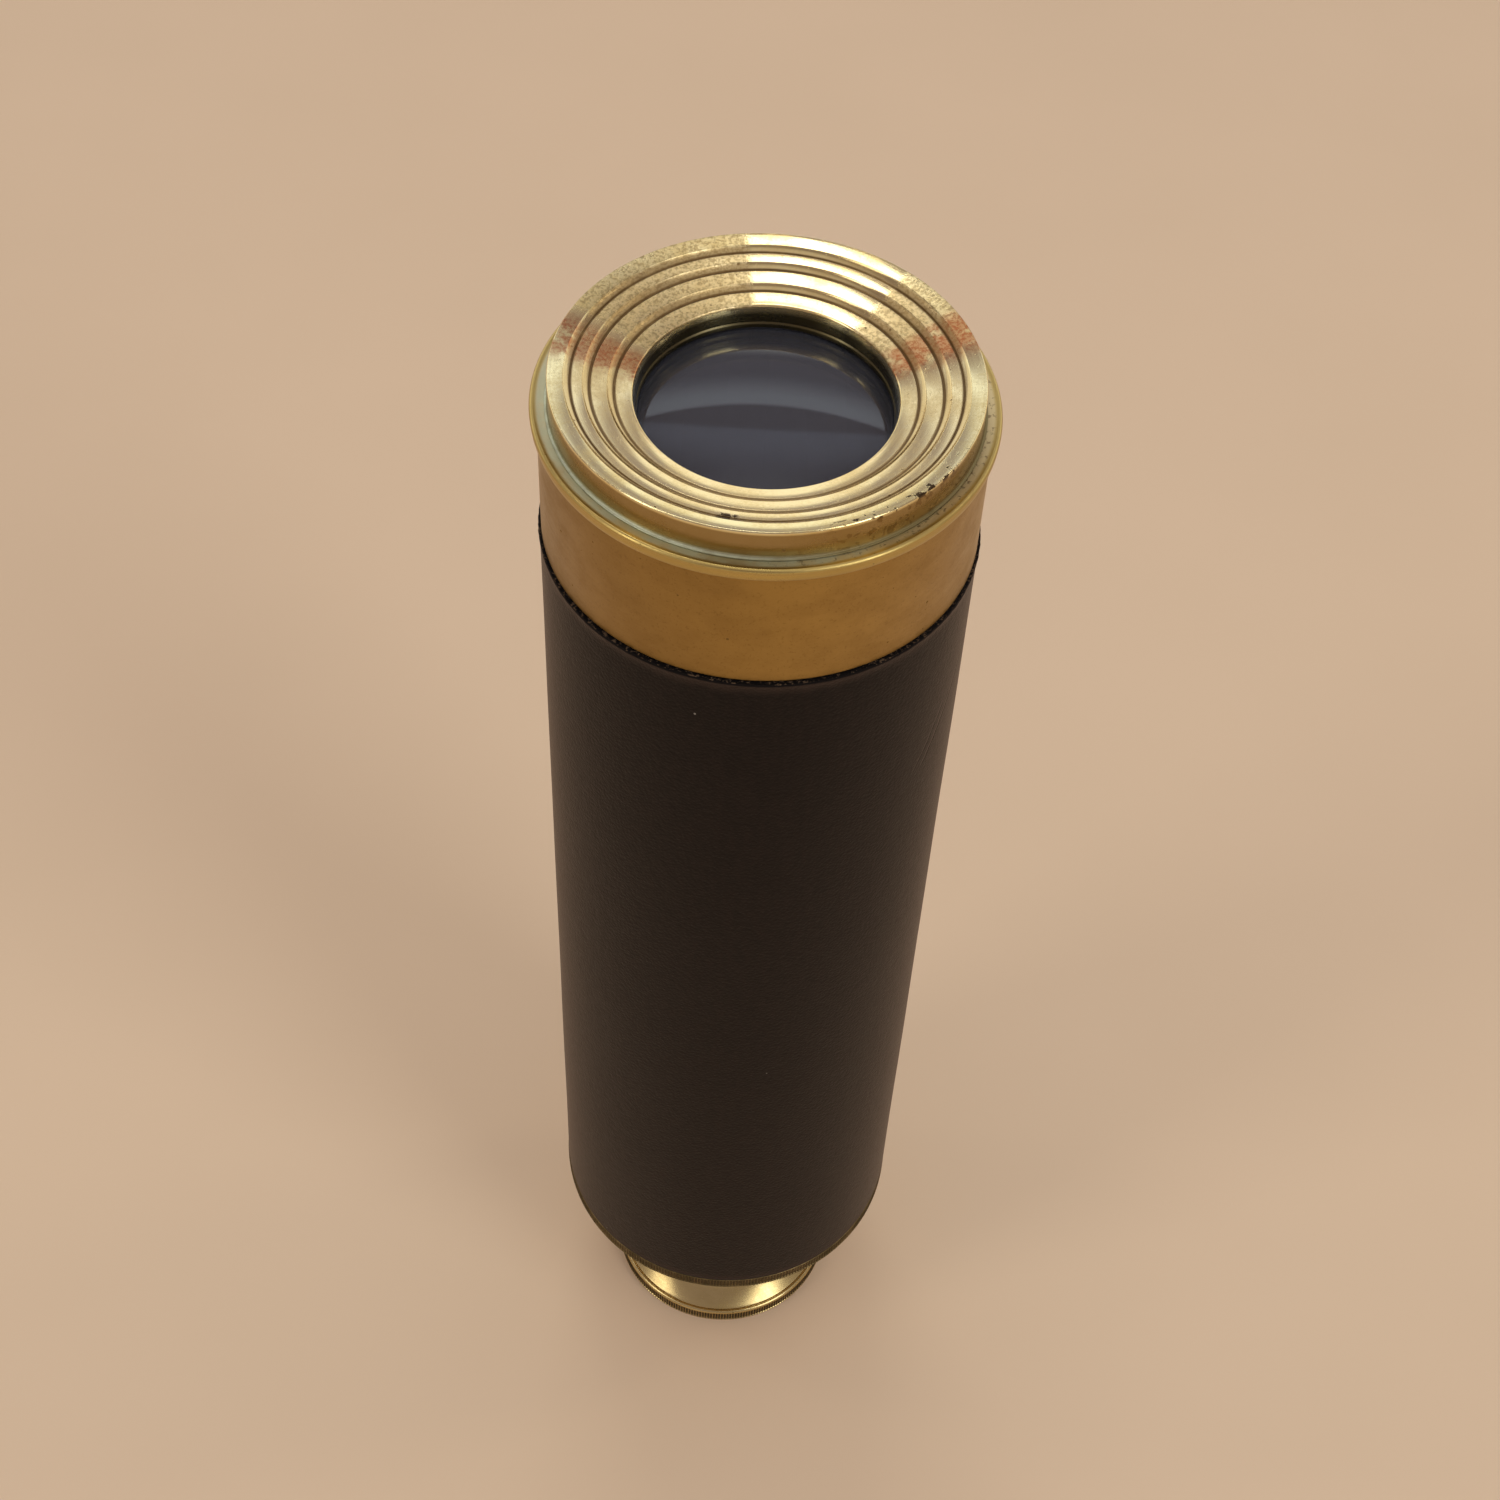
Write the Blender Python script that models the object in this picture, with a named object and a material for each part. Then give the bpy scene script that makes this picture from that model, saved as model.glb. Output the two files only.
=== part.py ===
"""A lens-fronted kaleidoscope in brass and leather, standing on its eyepiece.

The leather-covered barrel carries a turned brass head with the objective lens at its top. A brass
draw tube slides and turns in the barrel's lower end. It holds three mirrors, set as a triangular
tunnel between two seats and packed with cork, and it ends in a flared eye cup, on which the whole
stands. Pulling the draw out moves the mirrors away from the lens and so focuses nearer things.

Every size is in metres. The axis of every round piece is Z, and the eye cup's rim stands at Z = 0.
"""

import math

import bmesh
import bpy
from mathutils import Matrix, Vector

MM = 0.001
SEGMENTS = 40
CURVE_STEPS = 5  # along a turned curve's outline
SHARP_ANGLE = 30.0  # degrees between faces, above which their edge is shaded sharp
MERGE_DISTANCE = 0.001 * MM
SEAT_GAP = 0.25 * MM  # between two pieces that sit on or in each other
RUNNING_GAP = 0.30 * MM  # between two pieces that move past each other

# Barrel and its leather cover
LEATHER_RADIUS = 22.25 * MM
LEATHER_THICKNESS = 0.75 * MM
LEATHER_LENGTH = 124.2 * MM
BARREL_WALL = 0.8 * MM
BARREL_RADIUS = LEATHER_RADIUS - LEATHER_THICKNESS - SEAT_GAP
BARREL_BORE = BARREL_RADIUS - BARREL_WALL

# Head collar: a smooth band flush with the leather, and a flange above it
BAND_LENGTH = 14.05 * MM
BAND_BELOW_LEATHER_SURFACE = 0.05 * MM
FLANGE_OVERHANG = 0.55 * MM
FLANGE_THICKNESS = 1.8 * MM
FLANGE_BEAD = 0.55 * MM
HEAD_THREAD_DEPTH = 0.95 * MM  # how far the collar's threaded shoulder stands into the barrel's bore
HEAD_THREAD_BELOW_FLANGE = 2.7 * MM
BAND_RADIUS = LEATHER_RADIUS - BAND_BELOW_LEATHER_SURFACE
FLANGE_RADIUS = BAND_RADIUS + FLANGE_OVERHANG
HEAD_BORE = BARREL_BORE - HEAD_THREAD_DEPTH

# Objective bezel: a brass ring dished in four gently sloped lands, with a steep step between each two
BEZEL_HEIGHT = 2.95 * MM
BEZEL_LEDGE = 1.75 * MM  # the flange's width outside the bezel
BEZEL_EDGE = 0.3 * MM
DISH_DEPTH = 2.54 * MM
DISH_OUTER_LAND = 1.25 * MM
DISH_STEPS = 3
DISH_STEP_WIDTH = 0.83 * MM
DISH_LAND_SLOPE = math.radians(12)
OPENING_TAPER = 0.4 * MM
OPENING_WALL = 2.45 * MM  # from the dish's lip down to the lens shoulder
SPIGOT_BELOW_LENS = 1.0 * MM
BEZEL_RADIUS = FLANGE_RADIUS - BEZEL_LEDGE
BEZEL_SPIGOT_RADIUS = HEAD_BORE - SEAT_GAP

# Objective lens and what holds it in the bezel
LENS_RADIUS = 14.2 * MM
LENS_LIP_WIDTH = 1.4 * MM  # how far the bezel's opening covers the lens's edge
LENS_CURVE = 57.0 * MM  # of its front face. Its back is flat
LENS_THICKNESS = 5.4 * MM
LENS_RING_HEIGHT = 2.25 * MM
LENS_RING_WIDTH = 1.5 * MM
GASKET_HEIGHT = 0.8 * MM
GASKET_WIDTH = 1.3 * MM
LENS_BORE = LENS_RADIUS + SEAT_GAP
OPENING_RADIUS = LENS_RADIUS - LENS_LIP_WIDTH

# Draw tube
DRAW_SIDE_ROOM = 3.95 * MM  # from the barrel's bore in to the draw tube
DRAW_WALL = 0.8 * MM
DRAW_PAST_MIRROR_RING = 0.55 * MM
DRAW_RADIUS = BARREL_BORE - DRAW_SIDE_ROOM
DRAW_BORE = DRAW_RADIUS - DRAW_WALL

# Stop collar on the draw tube, and the split spring ring that runs in its groove
STOP_HEIGHT = 9.0 * MM
STOP_FROM_DRAW_END = 0.8 * MM
STOP_SIDE_ROOM = 0.85 * MM
GROOVE_DEPTH = 1.7 * MM
FRICTION_RING_HEIGHT = 2.9 * MM
FRICTION_RING_SPLIT = 2.0 * MM
FRICTION_RING_TURN = math.radians(23)
STOP_RADIUS = BARREL_BORE - STOP_SIDE_ROOM
GROOVE_RADIUS = STOP_RADIUS - GROOVE_DEPTH

# Tail collar with its milled rim, and the slit sleeve that guides the draw tube
TAIL_RIM_HEIGHT = 1.65 * MM
TAIL_RIM_OVERHANG = 0.05 * MM
TAIL_COVE_HEIGHT = 4.2 * MM
TAIL_COVE_DEPTH = 2.6 * MM
TAIL_BEAD = 1.8 * MM
TAIL_SPIGOT_LENGTH = 9.5 * MM
TAIL_LIP_HEIGHT = 1.5 * MM
SLEEVE_WALL = 0.8 * MM
SLEEVE_LENGTH = 23.5 * MM
SLEEVE_SLITS = 3
SLEEVE_SLIT_WIDTH = 0.8 * MM
SLEEVE_SLIT_LENGTH = 15.0 * MM
SLEEVE_SLIT_TURN = math.radians(36)
TAIL_RIM_RADIUS = LEATHER_RADIUS + TAIL_RIM_OVERHANG
TAIL_COVE_RADIUS = TAIL_RIM_RADIUS - TAIL_COVE_DEPTH
GUIDE_BORE = DRAW_RADIUS + RUNNING_GAP
SLEEVE_RADIUS = GUIDE_BORE + SLEEVE_WALL

# Eye cup: the flared foot of the eyepiece
CUP_RIM_RADIUS = 15.3 * MM
CUP_RIM_HEIGHT = 2.3 * MM
CUP_RIM_EDGE = 0.3 * MM
CUP_LIP_WIDTH = 1.4 * MM
CUP_BEAD_WIDTH = 0.7 * MM
CUP_FLARE_HEIGHT = 6.2 * MM
CUP_FLARE_HOLLOW = 0.6 * MM
CUP_SHOULDER_WIDTH = 1.05 * MM
CUP_NECK_HEIGHT = 0.5 * MM
CUP_DEPTH = 5.2 * MM
EYE_HOLE_RADIUS = 3.6 * MM
EYE_HOLE_WALL = 0.9 * MM
CUP_SPIGOT_WALL = 1.4 * MM
CUP_SPIGOT_LENGTH = 5.0 * MM

# Eye lens and its ring, inside the eye cup's spigot
EYE_LENS_RADIUS = 7.9 * MM
EYE_LENS_CURVE = 52.0 * MM
EYE_LENS_THICKNESS = 2.6 * MM
EYE_RING_HEIGHT = 1.6 * MM
EYE_RING_WIDTH = 1.4 * MM
EYE_LENS_BORE = EYE_LENS_RADIUS + SEAT_GAP
CUP_SPIGOT_RADIUS = EYE_LENS_BORE + CUP_SPIGOT_WALL
CUP_NECK_RADIUS = CUP_SPIGOT_RADIUS + CUP_SHOULDER_WIDTH

# Eye cap: closes the draw tube and takes the eye cup's spigot
CAP_BEAD_WIDTH = 2.5 * MM
CAP_BEAD_HEIGHT = 1.9 * MM
CAP_OGEE_HEIGHT = 4.9 * MM
CAP_SHOULDER_OVERHANG = 0.8 * MM
CAP_SHOULDER_HEIGHT = 2.4 * MM
CAP_WEB = 1.7 * MM
CAP_WEB_LEDGE = 2.2 * MM
CAP_SPIGOT_HEIGHT = 1.5 * MM
CAP_SPIGOT_WALL = 1.8 * MM
CAP_BORE = CUP_SPIGOT_RADIUS + SEAT_GAP
CAP_BEAD_RADIUS = CAP_BORE + CAP_BEAD_WIDTH
CAP_SHOULDER_RADIUS = DRAW_RADIUS + CAP_SHOULDER_OVERHANG

# Mirrors and what holds them in the draw tube
MIRRORS = 3
MIRROR_LENGTH = 86.0 * MM
MIRROR_GLASS = 2.0 * MM
SEAT_THICKNESS = 1.5 * MM
REAR_WINDOW_LEDGE = 0.8 * MM
MIRROR_RING_HEIGHT = 1.6 * MM
MIRROR_RING_WIDTH = 2.3 * MM
TAPE_THICKNESS = 0.3 * MM
TAPE_WIDTH = 8.0 * MM
TAPE_FROM_END = 9.0 * MM
CORK_FROM_END = 1.0 * MM
SLOT_WIDTH = 1.2 * MM  # of the spanner slots in the threaded rings
SLOT_DEPTH = 0.7 * MM
DRAW_FIT_RADIUS = DRAW_BORE - SEAT_GAP

# Heights, from the floor up
CUP_SHOULDER_Z = CUP_RIM_HEIGHT + CUP_FLARE_HEIGHT + CUP_NECK_HEIGHT
CAP_BOTTOM_Z = CUP_SHOULDER_Z + SEAT_GAP
CAP_SHOULDER_Z = CAP_BOTTOM_Z + CAP_BEAD_HEIGHT + CAP_OGEE_HEIGHT
CAP_TOP_Z = CAP_SHOULDER_Z + CAP_SHOULDER_HEIGHT
DRAW_BOTTOM_Z = CAP_TOP_Z + SEAT_GAP
TAIL_BOTTOM_Z = CAP_TOP_Z + RUNNING_GAP
TAIL_RIM_Z = TAIL_BOTTOM_Z + TAIL_BEAD + TAIL_COVE_HEIGHT
TAIL_TOP_Z = TAIL_RIM_Z + TAIL_RIM_HEIGHT
LEATHER_BOTTOM_Z = TAIL_TOP_Z + SEAT_GAP
LEATHER_TOP_Z = LEATHER_BOTTOM_Z + LEATHER_LENGTH
BAND_BOTTOM_Z = LEATHER_TOP_Z + SEAT_GAP
FLANGE_BOTTOM_Z = BAND_BOTTOM_Z + BAND_LENGTH
HEAD_SHOULDER_Z = FLANGE_BOTTOM_Z - HEAD_THREAD_BELOW_FLANGE
BARREL_TOP_Z = HEAD_SHOULDER_Z - SEAT_GAP
FLANGE_TOP_Z = FLANGE_BOTTOM_Z + FLANGE_THICKNESS
BEZEL_BOTTOM_Z = FLANGE_TOP_Z + SEAT_GAP
BEZEL_TOP_Z = BEZEL_BOTTOM_Z + BEZEL_HEIGHT
LIP_Z = BEZEL_TOP_Z - DISH_DEPTH
LENS_SHOULDER_Z = LIP_Z - OPENING_WALL
REAR_SEAT_Z = CAP_TOP_Z + CAP_SPIGOT_HEIGHT + SEAT_GAP
MIRROR_BOTTOM_Z = REAR_SEAT_Z + SEAT_THICKNESS + SEAT_GAP
MIRROR_TOP_Z = MIRROR_BOTTOM_Z + MIRROR_LENGTH
FRONT_SEAT_Z = MIRROR_TOP_Z + SEAT_GAP
MIRROR_RING_Z = FRONT_SEAT_Z + SEAT_THICKNESS + SEAT_GAP
DRAW_TOP_Z = MIRROR_RING_Z + MIRROR_RING_HEIGHT + DRAW_PAST_MIRROR_RING
STOP_TOP_Z = DRAW_TOP_Z - STOP_FROM_DRAW_END
STOP_BOTTOM_Z = STOP_TOP_Z - STOP_HEIGHT
FRICTION_RING_Z = (STOP_BOTTOM_Z + STOP_TOP_Z - FRICTION_RING_HEIGHT) / 2


def sag(curve, radius):
    """How far a lens face of that curvature radius falls from its middle to that radius."""
    return curve - math.sqrt(curve**2 - radius**2)


LENS_FRONT_Z = LENS_SHOULDER_Z - SEAT_GAP + sag(LENS_CURVE, OPENING_RADIUS - OPENING_TAPER)
LENS_BACK_Z = LENS_FRONT_Z - LENS_THICKNESS
GASKET_TOP_Z = LENS_BACK_Z - SEAT_GAP
LENS_RING_TOP_Z = GASKET_TOP_Z - GASKET_HEIGHT - SEAT_GAP
LENS_RING_BOTTOM_Z = LENS_RING_TOP_Z - LENS_RING_HEIGHT


def mirror_inradius():
    """The largest distance from the axis to the mirrors' faces at which their taped outer corners
    still clear the draw tube's bore. It solves (sqrt(3) x)^2 + (x + glass)^2 = corner^2. The tape
    stands out at a corner by at most twice what it does on the flat."""
    corner = DRAW_FIT_RADIUS - 2 * (TAPE_THICKNESS + SEAT_GAP)
    return (-MIRROR_GLASS + math.sqrt(4 * corner**2 - 3 * MIRROR_GLASS**2)) / 4


MIRROR_INRADIUS = mirror_inradius()
MIRROR_BACK = MIRROR_INRADIUS + MIRROR_GLASS
MIRROR_WIDTH = 2 * math.sqrt(3) * MIRROR_INRADIUS - SEAT_GAP


def finish(name, colour, roughness, metallic, transmission=0.0):
    """A Principled material."""
    material = bpy.data.materials.new(name)
    material.use_nodes = True
    shader = material.node_tree.nodes["Principled BSDF"]
    shader.inputs["Base Color"].default_value = (*colour, 1)
    shader.inputs["Roughness"].default_value = roughness
    shader.inputs["Metallic"].default_value = metallic
    shader.inputs["Transmission Weight"].default_value = transmission
    material.diffuse_color = (*colour, 1)
    return material


def group(name, height):
    """An empty on the axis, which the pieces of one moving body are parented to."""
    empty = bpy.data.objects.new(name, None)
    empty.location.z = height
    bpy.context.scene.collection.objects.link(empty)
    return empty


def place(name, bm, material, parent):
    """The bmesh, made round-shaded and closed, as a named object parented to that body's empty."""
    bmesh.ops.recalc_face_normals(bm, faces=bm.faces)
    mesh = bpy.data.meshes.new(name)
    bm.to_mesh(mesh)
    bm.free()
    mesh.shade_smooth()
    mesh.set_sharp_from_angle(angle=math.radians(SHARP_ANGLE))
    piece = bpy.data.objects.new(name, mesh)
    bpy.context.scene.collection.objects.link(piece)
    if material:
        mesh.materials.append(material)
    if parent:
        piece.parent = parent
        piece.matrix_parent_inverse = Matrix.Translation(-parent.location)
    return piece


def spun(outline, closed=True):
    """A bmesh turned about Z from (radius, height) points. An open outline has its ends on the axis."""
    bm = bmesh.new()
    points = [bm.verts.new((radius, 0, height)) for radius, height in outline]
    ends = points[1:] + points[:1] if closed else points[1:]
    edges = [bm.edges.new(pair) for pair in zip(points, ends)]
    whole = {"cent": (0, 0, 0), "axis": (0, 0, 1), "angle": math.tau, "steps": SEGMENTS}
    bmesh.ops.spin(bm, geom=points + edges, use_merge=True, **whole)
    bmesh.ops.remove_doubles(bm, verts=bm.verts, dist=MERGE_DISTANCE)
    return bm


def turned(name, outline, material, parent, closed=True):
    return place(name, spun(outline, closed), material, parent)


def sleeve_outline(inner, outer, bottom, top):
    """The cross-section of a plain tube or ring."""
    return [(inner, bottom), (outer, bottom), (outer, top), (inner, top)]


def prism(points, bottom, top):
    """A bmesh of a flat outline, given as (x, y) points, raised from one height to another."""
    bm = bmesh.new()
    face = bm.faces.new([bm.verts.new((x, y, bottom)) for x, y in points])
    raised = bmesh.ops.extrude_face_region(bm, geom=[face])["geom"]
    verts = [part for part in raised if isinstance(part, bmesh.types.BMVert)]
    bmesh.ops.translate(bm, verts=verts, vec=(0, 0, top - bottom))
    return bm


def box(low, high):
    """A bmesh box between two corners."""
    (x0, y0, z0), (x1, y1, z1) = low, high
    return prism([(x0, y0), (x1, y0), (x1, y1), (x0, y1)], z0, z1)


def cut(piece, bm, name, turn=0.0):
    """Cuts the bmesh, turned about the axis, out of the piece, and hides it as a guide."""
    cutter = place(name, bm, None, None)
    cutter.rotation_euler.z = turn
    cutter.hide_render = True
    cutter.display_type = "WIRE"
    modifier = piece.modifiers.new(name, "BOOLEAN")
    modifier.object = cutter
    modifier.operation = "DIFFERENCE"
    modifier.solver = "EXACT"


def quarter(start, end):
    """A quarter turn of an ellipse from start, which it leaves along the height, to end."""
    (r0, z0), (r1, z1) = start, end
    points = []
    for step in range(CURVE_STEPS + 1):
        angle = math.pi / 2 * step / CURVE_STEPS
        points.append((r0 + (r1 - r0) * (1 - math.cos(angle)), z0 + (z1 - z0) * math.sin(angle)))
    return points


def hollow(start, end, depth):
    """A curve up from start to end that stands that far inside the straight line at its middle."""
    start, end = Vector(start), Vector(end)
    inwards = Vector((start.y - end.y, end.x - start.x)).normalized()
    points = []
    for step in range(CURVE_STEPS + 1):
        share = step / CURVE_STEPS
        points.append(tuple(start.lerp(end, share) + inwards * depth * 4 * share * (1 - share)))
    return points


def spanner_slots(piece, radius, face, name, below=False):
    """Two opposite slots across a threaded ring's upper or lower face, for the spanner that turns it."""
    low, high = (face - MM, face + SLOT_DEPTH) if below else (face - SLOT_DEPTH, face + MM)
    reach = radius + MM
    cut(piece, box((-reach, -SLOT_WIDTH / 2, low), (reach, SLOT_WIDTH / 2, high)), name)


# --- Barrel ---------------------------------------------------------------------------------


def make_barrel(body):
    outline = sleeve_outline(BARREL_BORE, BARREL_RADIUS, LEATHER_BOTTOM_Z, BARREL_TOP_Z)
    turned("barrel_tube", outline, BRASS, body)


def make_leather(body):
    outline = sleeve_outline(BARREL_RADIUS + SEAT_GAP, LEATHER_RADIUS, LEATHER_BOTTOM_Z, LEATHER_TOP_Z)
    turned("leather_cover", outline, LEATHER, body)


def make_head_collar(body):
    """A band that slips over the barrel's end. Its inner shoulder is threaded for the bezel."""
    band_bore = BARREL_RADIUS + SEAT_GAP
    outline = [
        (band_bore, BAND_BOTTOM_Z),
        (BAND_RADIUS, BAND_BOTTOM_Z),
        (BAND_RADIUS, FLANGE_BOTTOM_Z),
        (FLANGE_RADIUS - FLANGE_BEAD / 2, FLANGE_BOTTOM_Z),
        (FLANGE_RADIUS, FLANGE_BOTTOM_Z + FLANGE_BEAD),
        (FLANGE_RADIUS, FLANGE_TOP_Z - FLANGE_BEAD),
        (FLANGE_RADIUS - FLANGE_BEAD, FLANGE_TOP_Z),
        (HEAD_BORE, FLANGE_TOP_Z),
        (HEAD_BORE, HEAD_SHOULDER_Z),
        (band_bore, HEAD_SHOULDER_Z),
    ]
    turned("head_collar", outline, BRASS, body)


def dish_outline():
    """The bezel's face from its outer edge in to the opening's lip: sloped lands with steps between."""
    outer, inner = BEZEL_RADIUS - BEZEL_EDGE, OPENING_RADIUS
    lands = outer - inner - DISH_STEPS * DISH_STEP_WIDTH
    land = (lands - DISH_OUTER_LAND) / DISH_STEPS
    slope = math.tan(DISH_LAND_SLOPE)
    drop = (BEZEL_TOP_Z - LIP_Z - lands * slope) / DISH_STEPS
    radius, height = outer - DISH_OUTER_LAND, BEZEL_TOP_Z - DISH_OUTER_LAND * slope
    points = [(outer, BEZEL_TOP_Z), (radius, height)]
    for _ in range(DISH_STEPS):
        radius, height = radius - DISH_STEP_WIDTH, height - drop
        points.append((radius, height))
        radius, height = radius - land, height - land * slope
        points.append((radius, height))
    return points


def make_bezel(body):
    spigot_bottom = LENS_RING_BOTTOM_Z - SPIGOT_BELOW_LENS
    outline = [
        *dish_outline(),
        (OPENING_RADIUS - OPENING_TAPER, LENS_SHOULDER_Z),
        (LENS_BORE, LENS_SHOULDER_Z),
        (LENS_BORE, spigot_bottom),
        (BEZEL_SPIGOT_RADIUS, spigot_bottom),
        (BEZEL_SPIGOT_RADIUS, BEZEL_BOTTOM_Z),
        (BEZEL_RADIUS, BEZEL_BOTTOM_Z),
        (BEZEL_RADIUS, BEZEL_TOP_Z - BEZEL_EDGE),
    ]
    turned("objective_bezel", outline, BRASS, body)


def lens_outline(curve, radius, front, back):
    """A lens from the middle of its domed front face out to its edge and in along its flat back."""
    radii = [radius * step / CURVE_STEPS for step in range(CURVE_STEPS + 1)]
    return [(r, front - sag(curve, r)) for r in radii] + [(radius, back), (0, back)]


def make_objective(body):
    """A lens with its flat face inwards, a cork gasket behind it, and the ring that holds both."""
    lens = lens_outline(LENS_CURVE, LENS_RADIUS, LENS_FRONT_Z, LENS_BACK_Z)
    turned("objective_lens", lens, GLASS, body, closed=False)
    gasket = sleeve_outline(
        LENS_RADIUS - GASKET_WIDTH, LENS_RADIUS, GASKET_TOP_Z - GASKET_HEIGHT, GASKET_TOP_Z
    )
    turned("lens_gasket", gasket, CORK, body)
    inner = LENS_RADIUS - LENS_RING_WIDTH
    ring = sleeve_outline(inner, LENS_RADIUS, LENS_RING_BOTTOM_Z, LENS_RING_TOP_Z)
    piece = turned("objective_retaining_ring", ring, BLACKENED, body)
    spanner_slots(piece, LENS_RADIUS, LENS_RING_BOTTOM_Z, "objective_ring_slots", below=True)


def make_tail_collar(body):
    """A milled rim under the leather, a cove in to a bead round the draw tube, and a spigot."""
    spigot = BARREL_BORE - SEAT_GAP
    sleeve_bore = SLEEVE_RADIUS + SEAT_GAP
    lip_top = TAIL_BOTTOM_Z + TAIL_LIP_HEIGHT
    bead_middle = TAIL_BOTTOM_Z + TAIL_BEAD / 2
    cove_foot = (TAIL_COVE_RADIUS - TAIL_BEAD / 4, TAIL_BOTTOM_Z + TAIL_BEAD)
    spigot_top = TAIL_TOP_Z + TAIL_SPIGOT_LENGTH
    outline = [
        (GUIDE_BORE, TAIL_BOTTOM_Z),
        (TAIL_COVE_RADIUS - TAIL_BEAD / 2, TAIL_BOTTOM_Z),
        (TAIL_COVE_RADIUS, bead_middle),
        *quarter(cove_foot, (TAIL_RIM_RADIUS, TAIL_RIM_Z)),
        (TAIL_RIM_RADIUS, TAIL_TOP_Z),
        (spigot, TAIL_TOP_Z),
        (spigot, spigot_top),
        (sleeve_bore, spigot_top),
        (sleeve_bore, lip_top),
        (GUIDE_BORE, lip_top),
    ]
    turned("tail_collar", outline, BRASS, body)


def make_guide_sleeve(body):
    """A thin sleeve in the tail collar. Slits let its upper end spring on to the draw tube."""
    bottom = TAIL_BOTTOM_Z + TAIL_LIP_HEIGHT + SEAT_GAP
    top = bottom + SLEEVE_LENGTH
    piece = turned("guide_sleeve", sleeve_outline(GUIDE_BORE, SLEEVE_RADIUS, bottom, top), BRASS, body)
    half = SLEEVE_SLIT_WIDTH / 2
    for number in range(SLEEVE_SLITS):
        slit = box((GUIDE_BORE - MM, -half, top - SLEEVE_SLIT_LENGTH), (SLEEVE_RADIUS + MM, half, top + MM))
        cut(piece, slit, f"sleeve_slit_{number + 1}", SLEEVE_SLIT_TURN + math.tau * number / SLEEVE_SLITS)


# --- Draw -----------------------------------------------------------------------------------


def make_draw_tube(body):
    turned("draw_tube", sleeve_outline(DRAW_BORE, DRAW_RADIUS, DRAW_BOTTOM_Z, DRAW_TOP_Z), BRASS, body)


def make_stop_collar(body):
    """A grooved ring soldered round the draw tube. It meets the guide sleeve when the draw is out."""
    inner = DRAW_RADIUS + SEAT_GAP
    groove_bottom = FRICTION_RING_Z - RUNNING_GAP
    groove_top = FRICTION_RING_Z + FRICTION_RING_HEIGHT + RUNNING_GAP
    outline = [
        (inner, STOP_BOTTOM_Z),
        (STOP_RADIUS, STOP_BOTTOM_Z),
        (STOP_RADIUS, groove_bottom),
        (GROOVE_RADIUS, groove_bottom),
        (GROOVE_RADIUS, groove_top),
        (STOP_RADIUS, groove_top),
        (STOP_RADIUS, STOP_TOP_Z),
        (inner, STOP_TOP_Z),
    ]
    turned("stop_collar", outline, BRASS, body)


def make_friction_ring(body):
    """A split spring ring. It slides in the barrel's bore with the draw, which turns inside it."""
    inner, outer = GROOVE_RADIUS + RUNNING_GAP, BARREL_BORE - RUNNING_GAP
    top = FRICTION_RING_Z + FRICTION_RING_HEIGHT
    outline = sleeve_outline(inner, outer, FRICTION_RING_Z, top)
    piece = turned("friction_ring", outline, SPRING_BRASS, body)
    half = FRICTION_RING_SPLIT / 2
    split = box((inner - MM, -half, FRICTION_RING_Z - MM), (outer + MM, half, top + MM))
    cut(piece, split, "ring_split", FRICTION_RING_TURN)


def make_eye_cap(body):
    """Its spigot closes the draw tube, its web stops stray light, and its bore takes the eye cup."""
    web_bottom = CUP_SHOULDER_Z + CUP_SPIGOT_LENGTH + SEAT_GAP
    web_top = web_bottom + CAP_WEB
    spigot_bore = DRAW_FIT_RADIUS - CAP_SPIGOT_WALL
    spigot_top = CAP_TOP_Z + CAP_SPIGOT_HEIGHT
    bead_edge = CAP_BEAD_RADIUS - CAP_BEAD_HEIGHT / 3
    bead_top = CAP_BOTTOM_Z + CAP_BEAD_HEIGHT
    outline = [
        (CAP_BORE, CAP_BOTTOM_Z),
        (bead_edge, CAP_BOTTOM_Z),
        (CAP_BEAD_RADIUS, CAP_BOTTOM_Z + CAP_BEAD_HEIGHT / 2),
        *quarter((bead_edge, bead_top), (CAP_SHOULDER_RADIUS, CAP_SHOULDER_Z)),
        (CAP_SHOULDER_RADIUS, CAP_TOP_Z),
        (DRAW_FIT_RADIUS, CAP_TOP_Z),
        (DRAW_FIT_RADIUS, spigot_top),
        (spigot_bore, spigot_top),
        (spigot_bore, web_top),
        (CAP_BORE - CAP_WEB_LEDGE, web_top),
        (CAP_BORE - CAP_WEB_LEDGE, web_bottom),
        (CAP_BORE, web_bottom),
    ]
    turned("eye_cap", outline, BRASS, body)


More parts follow.
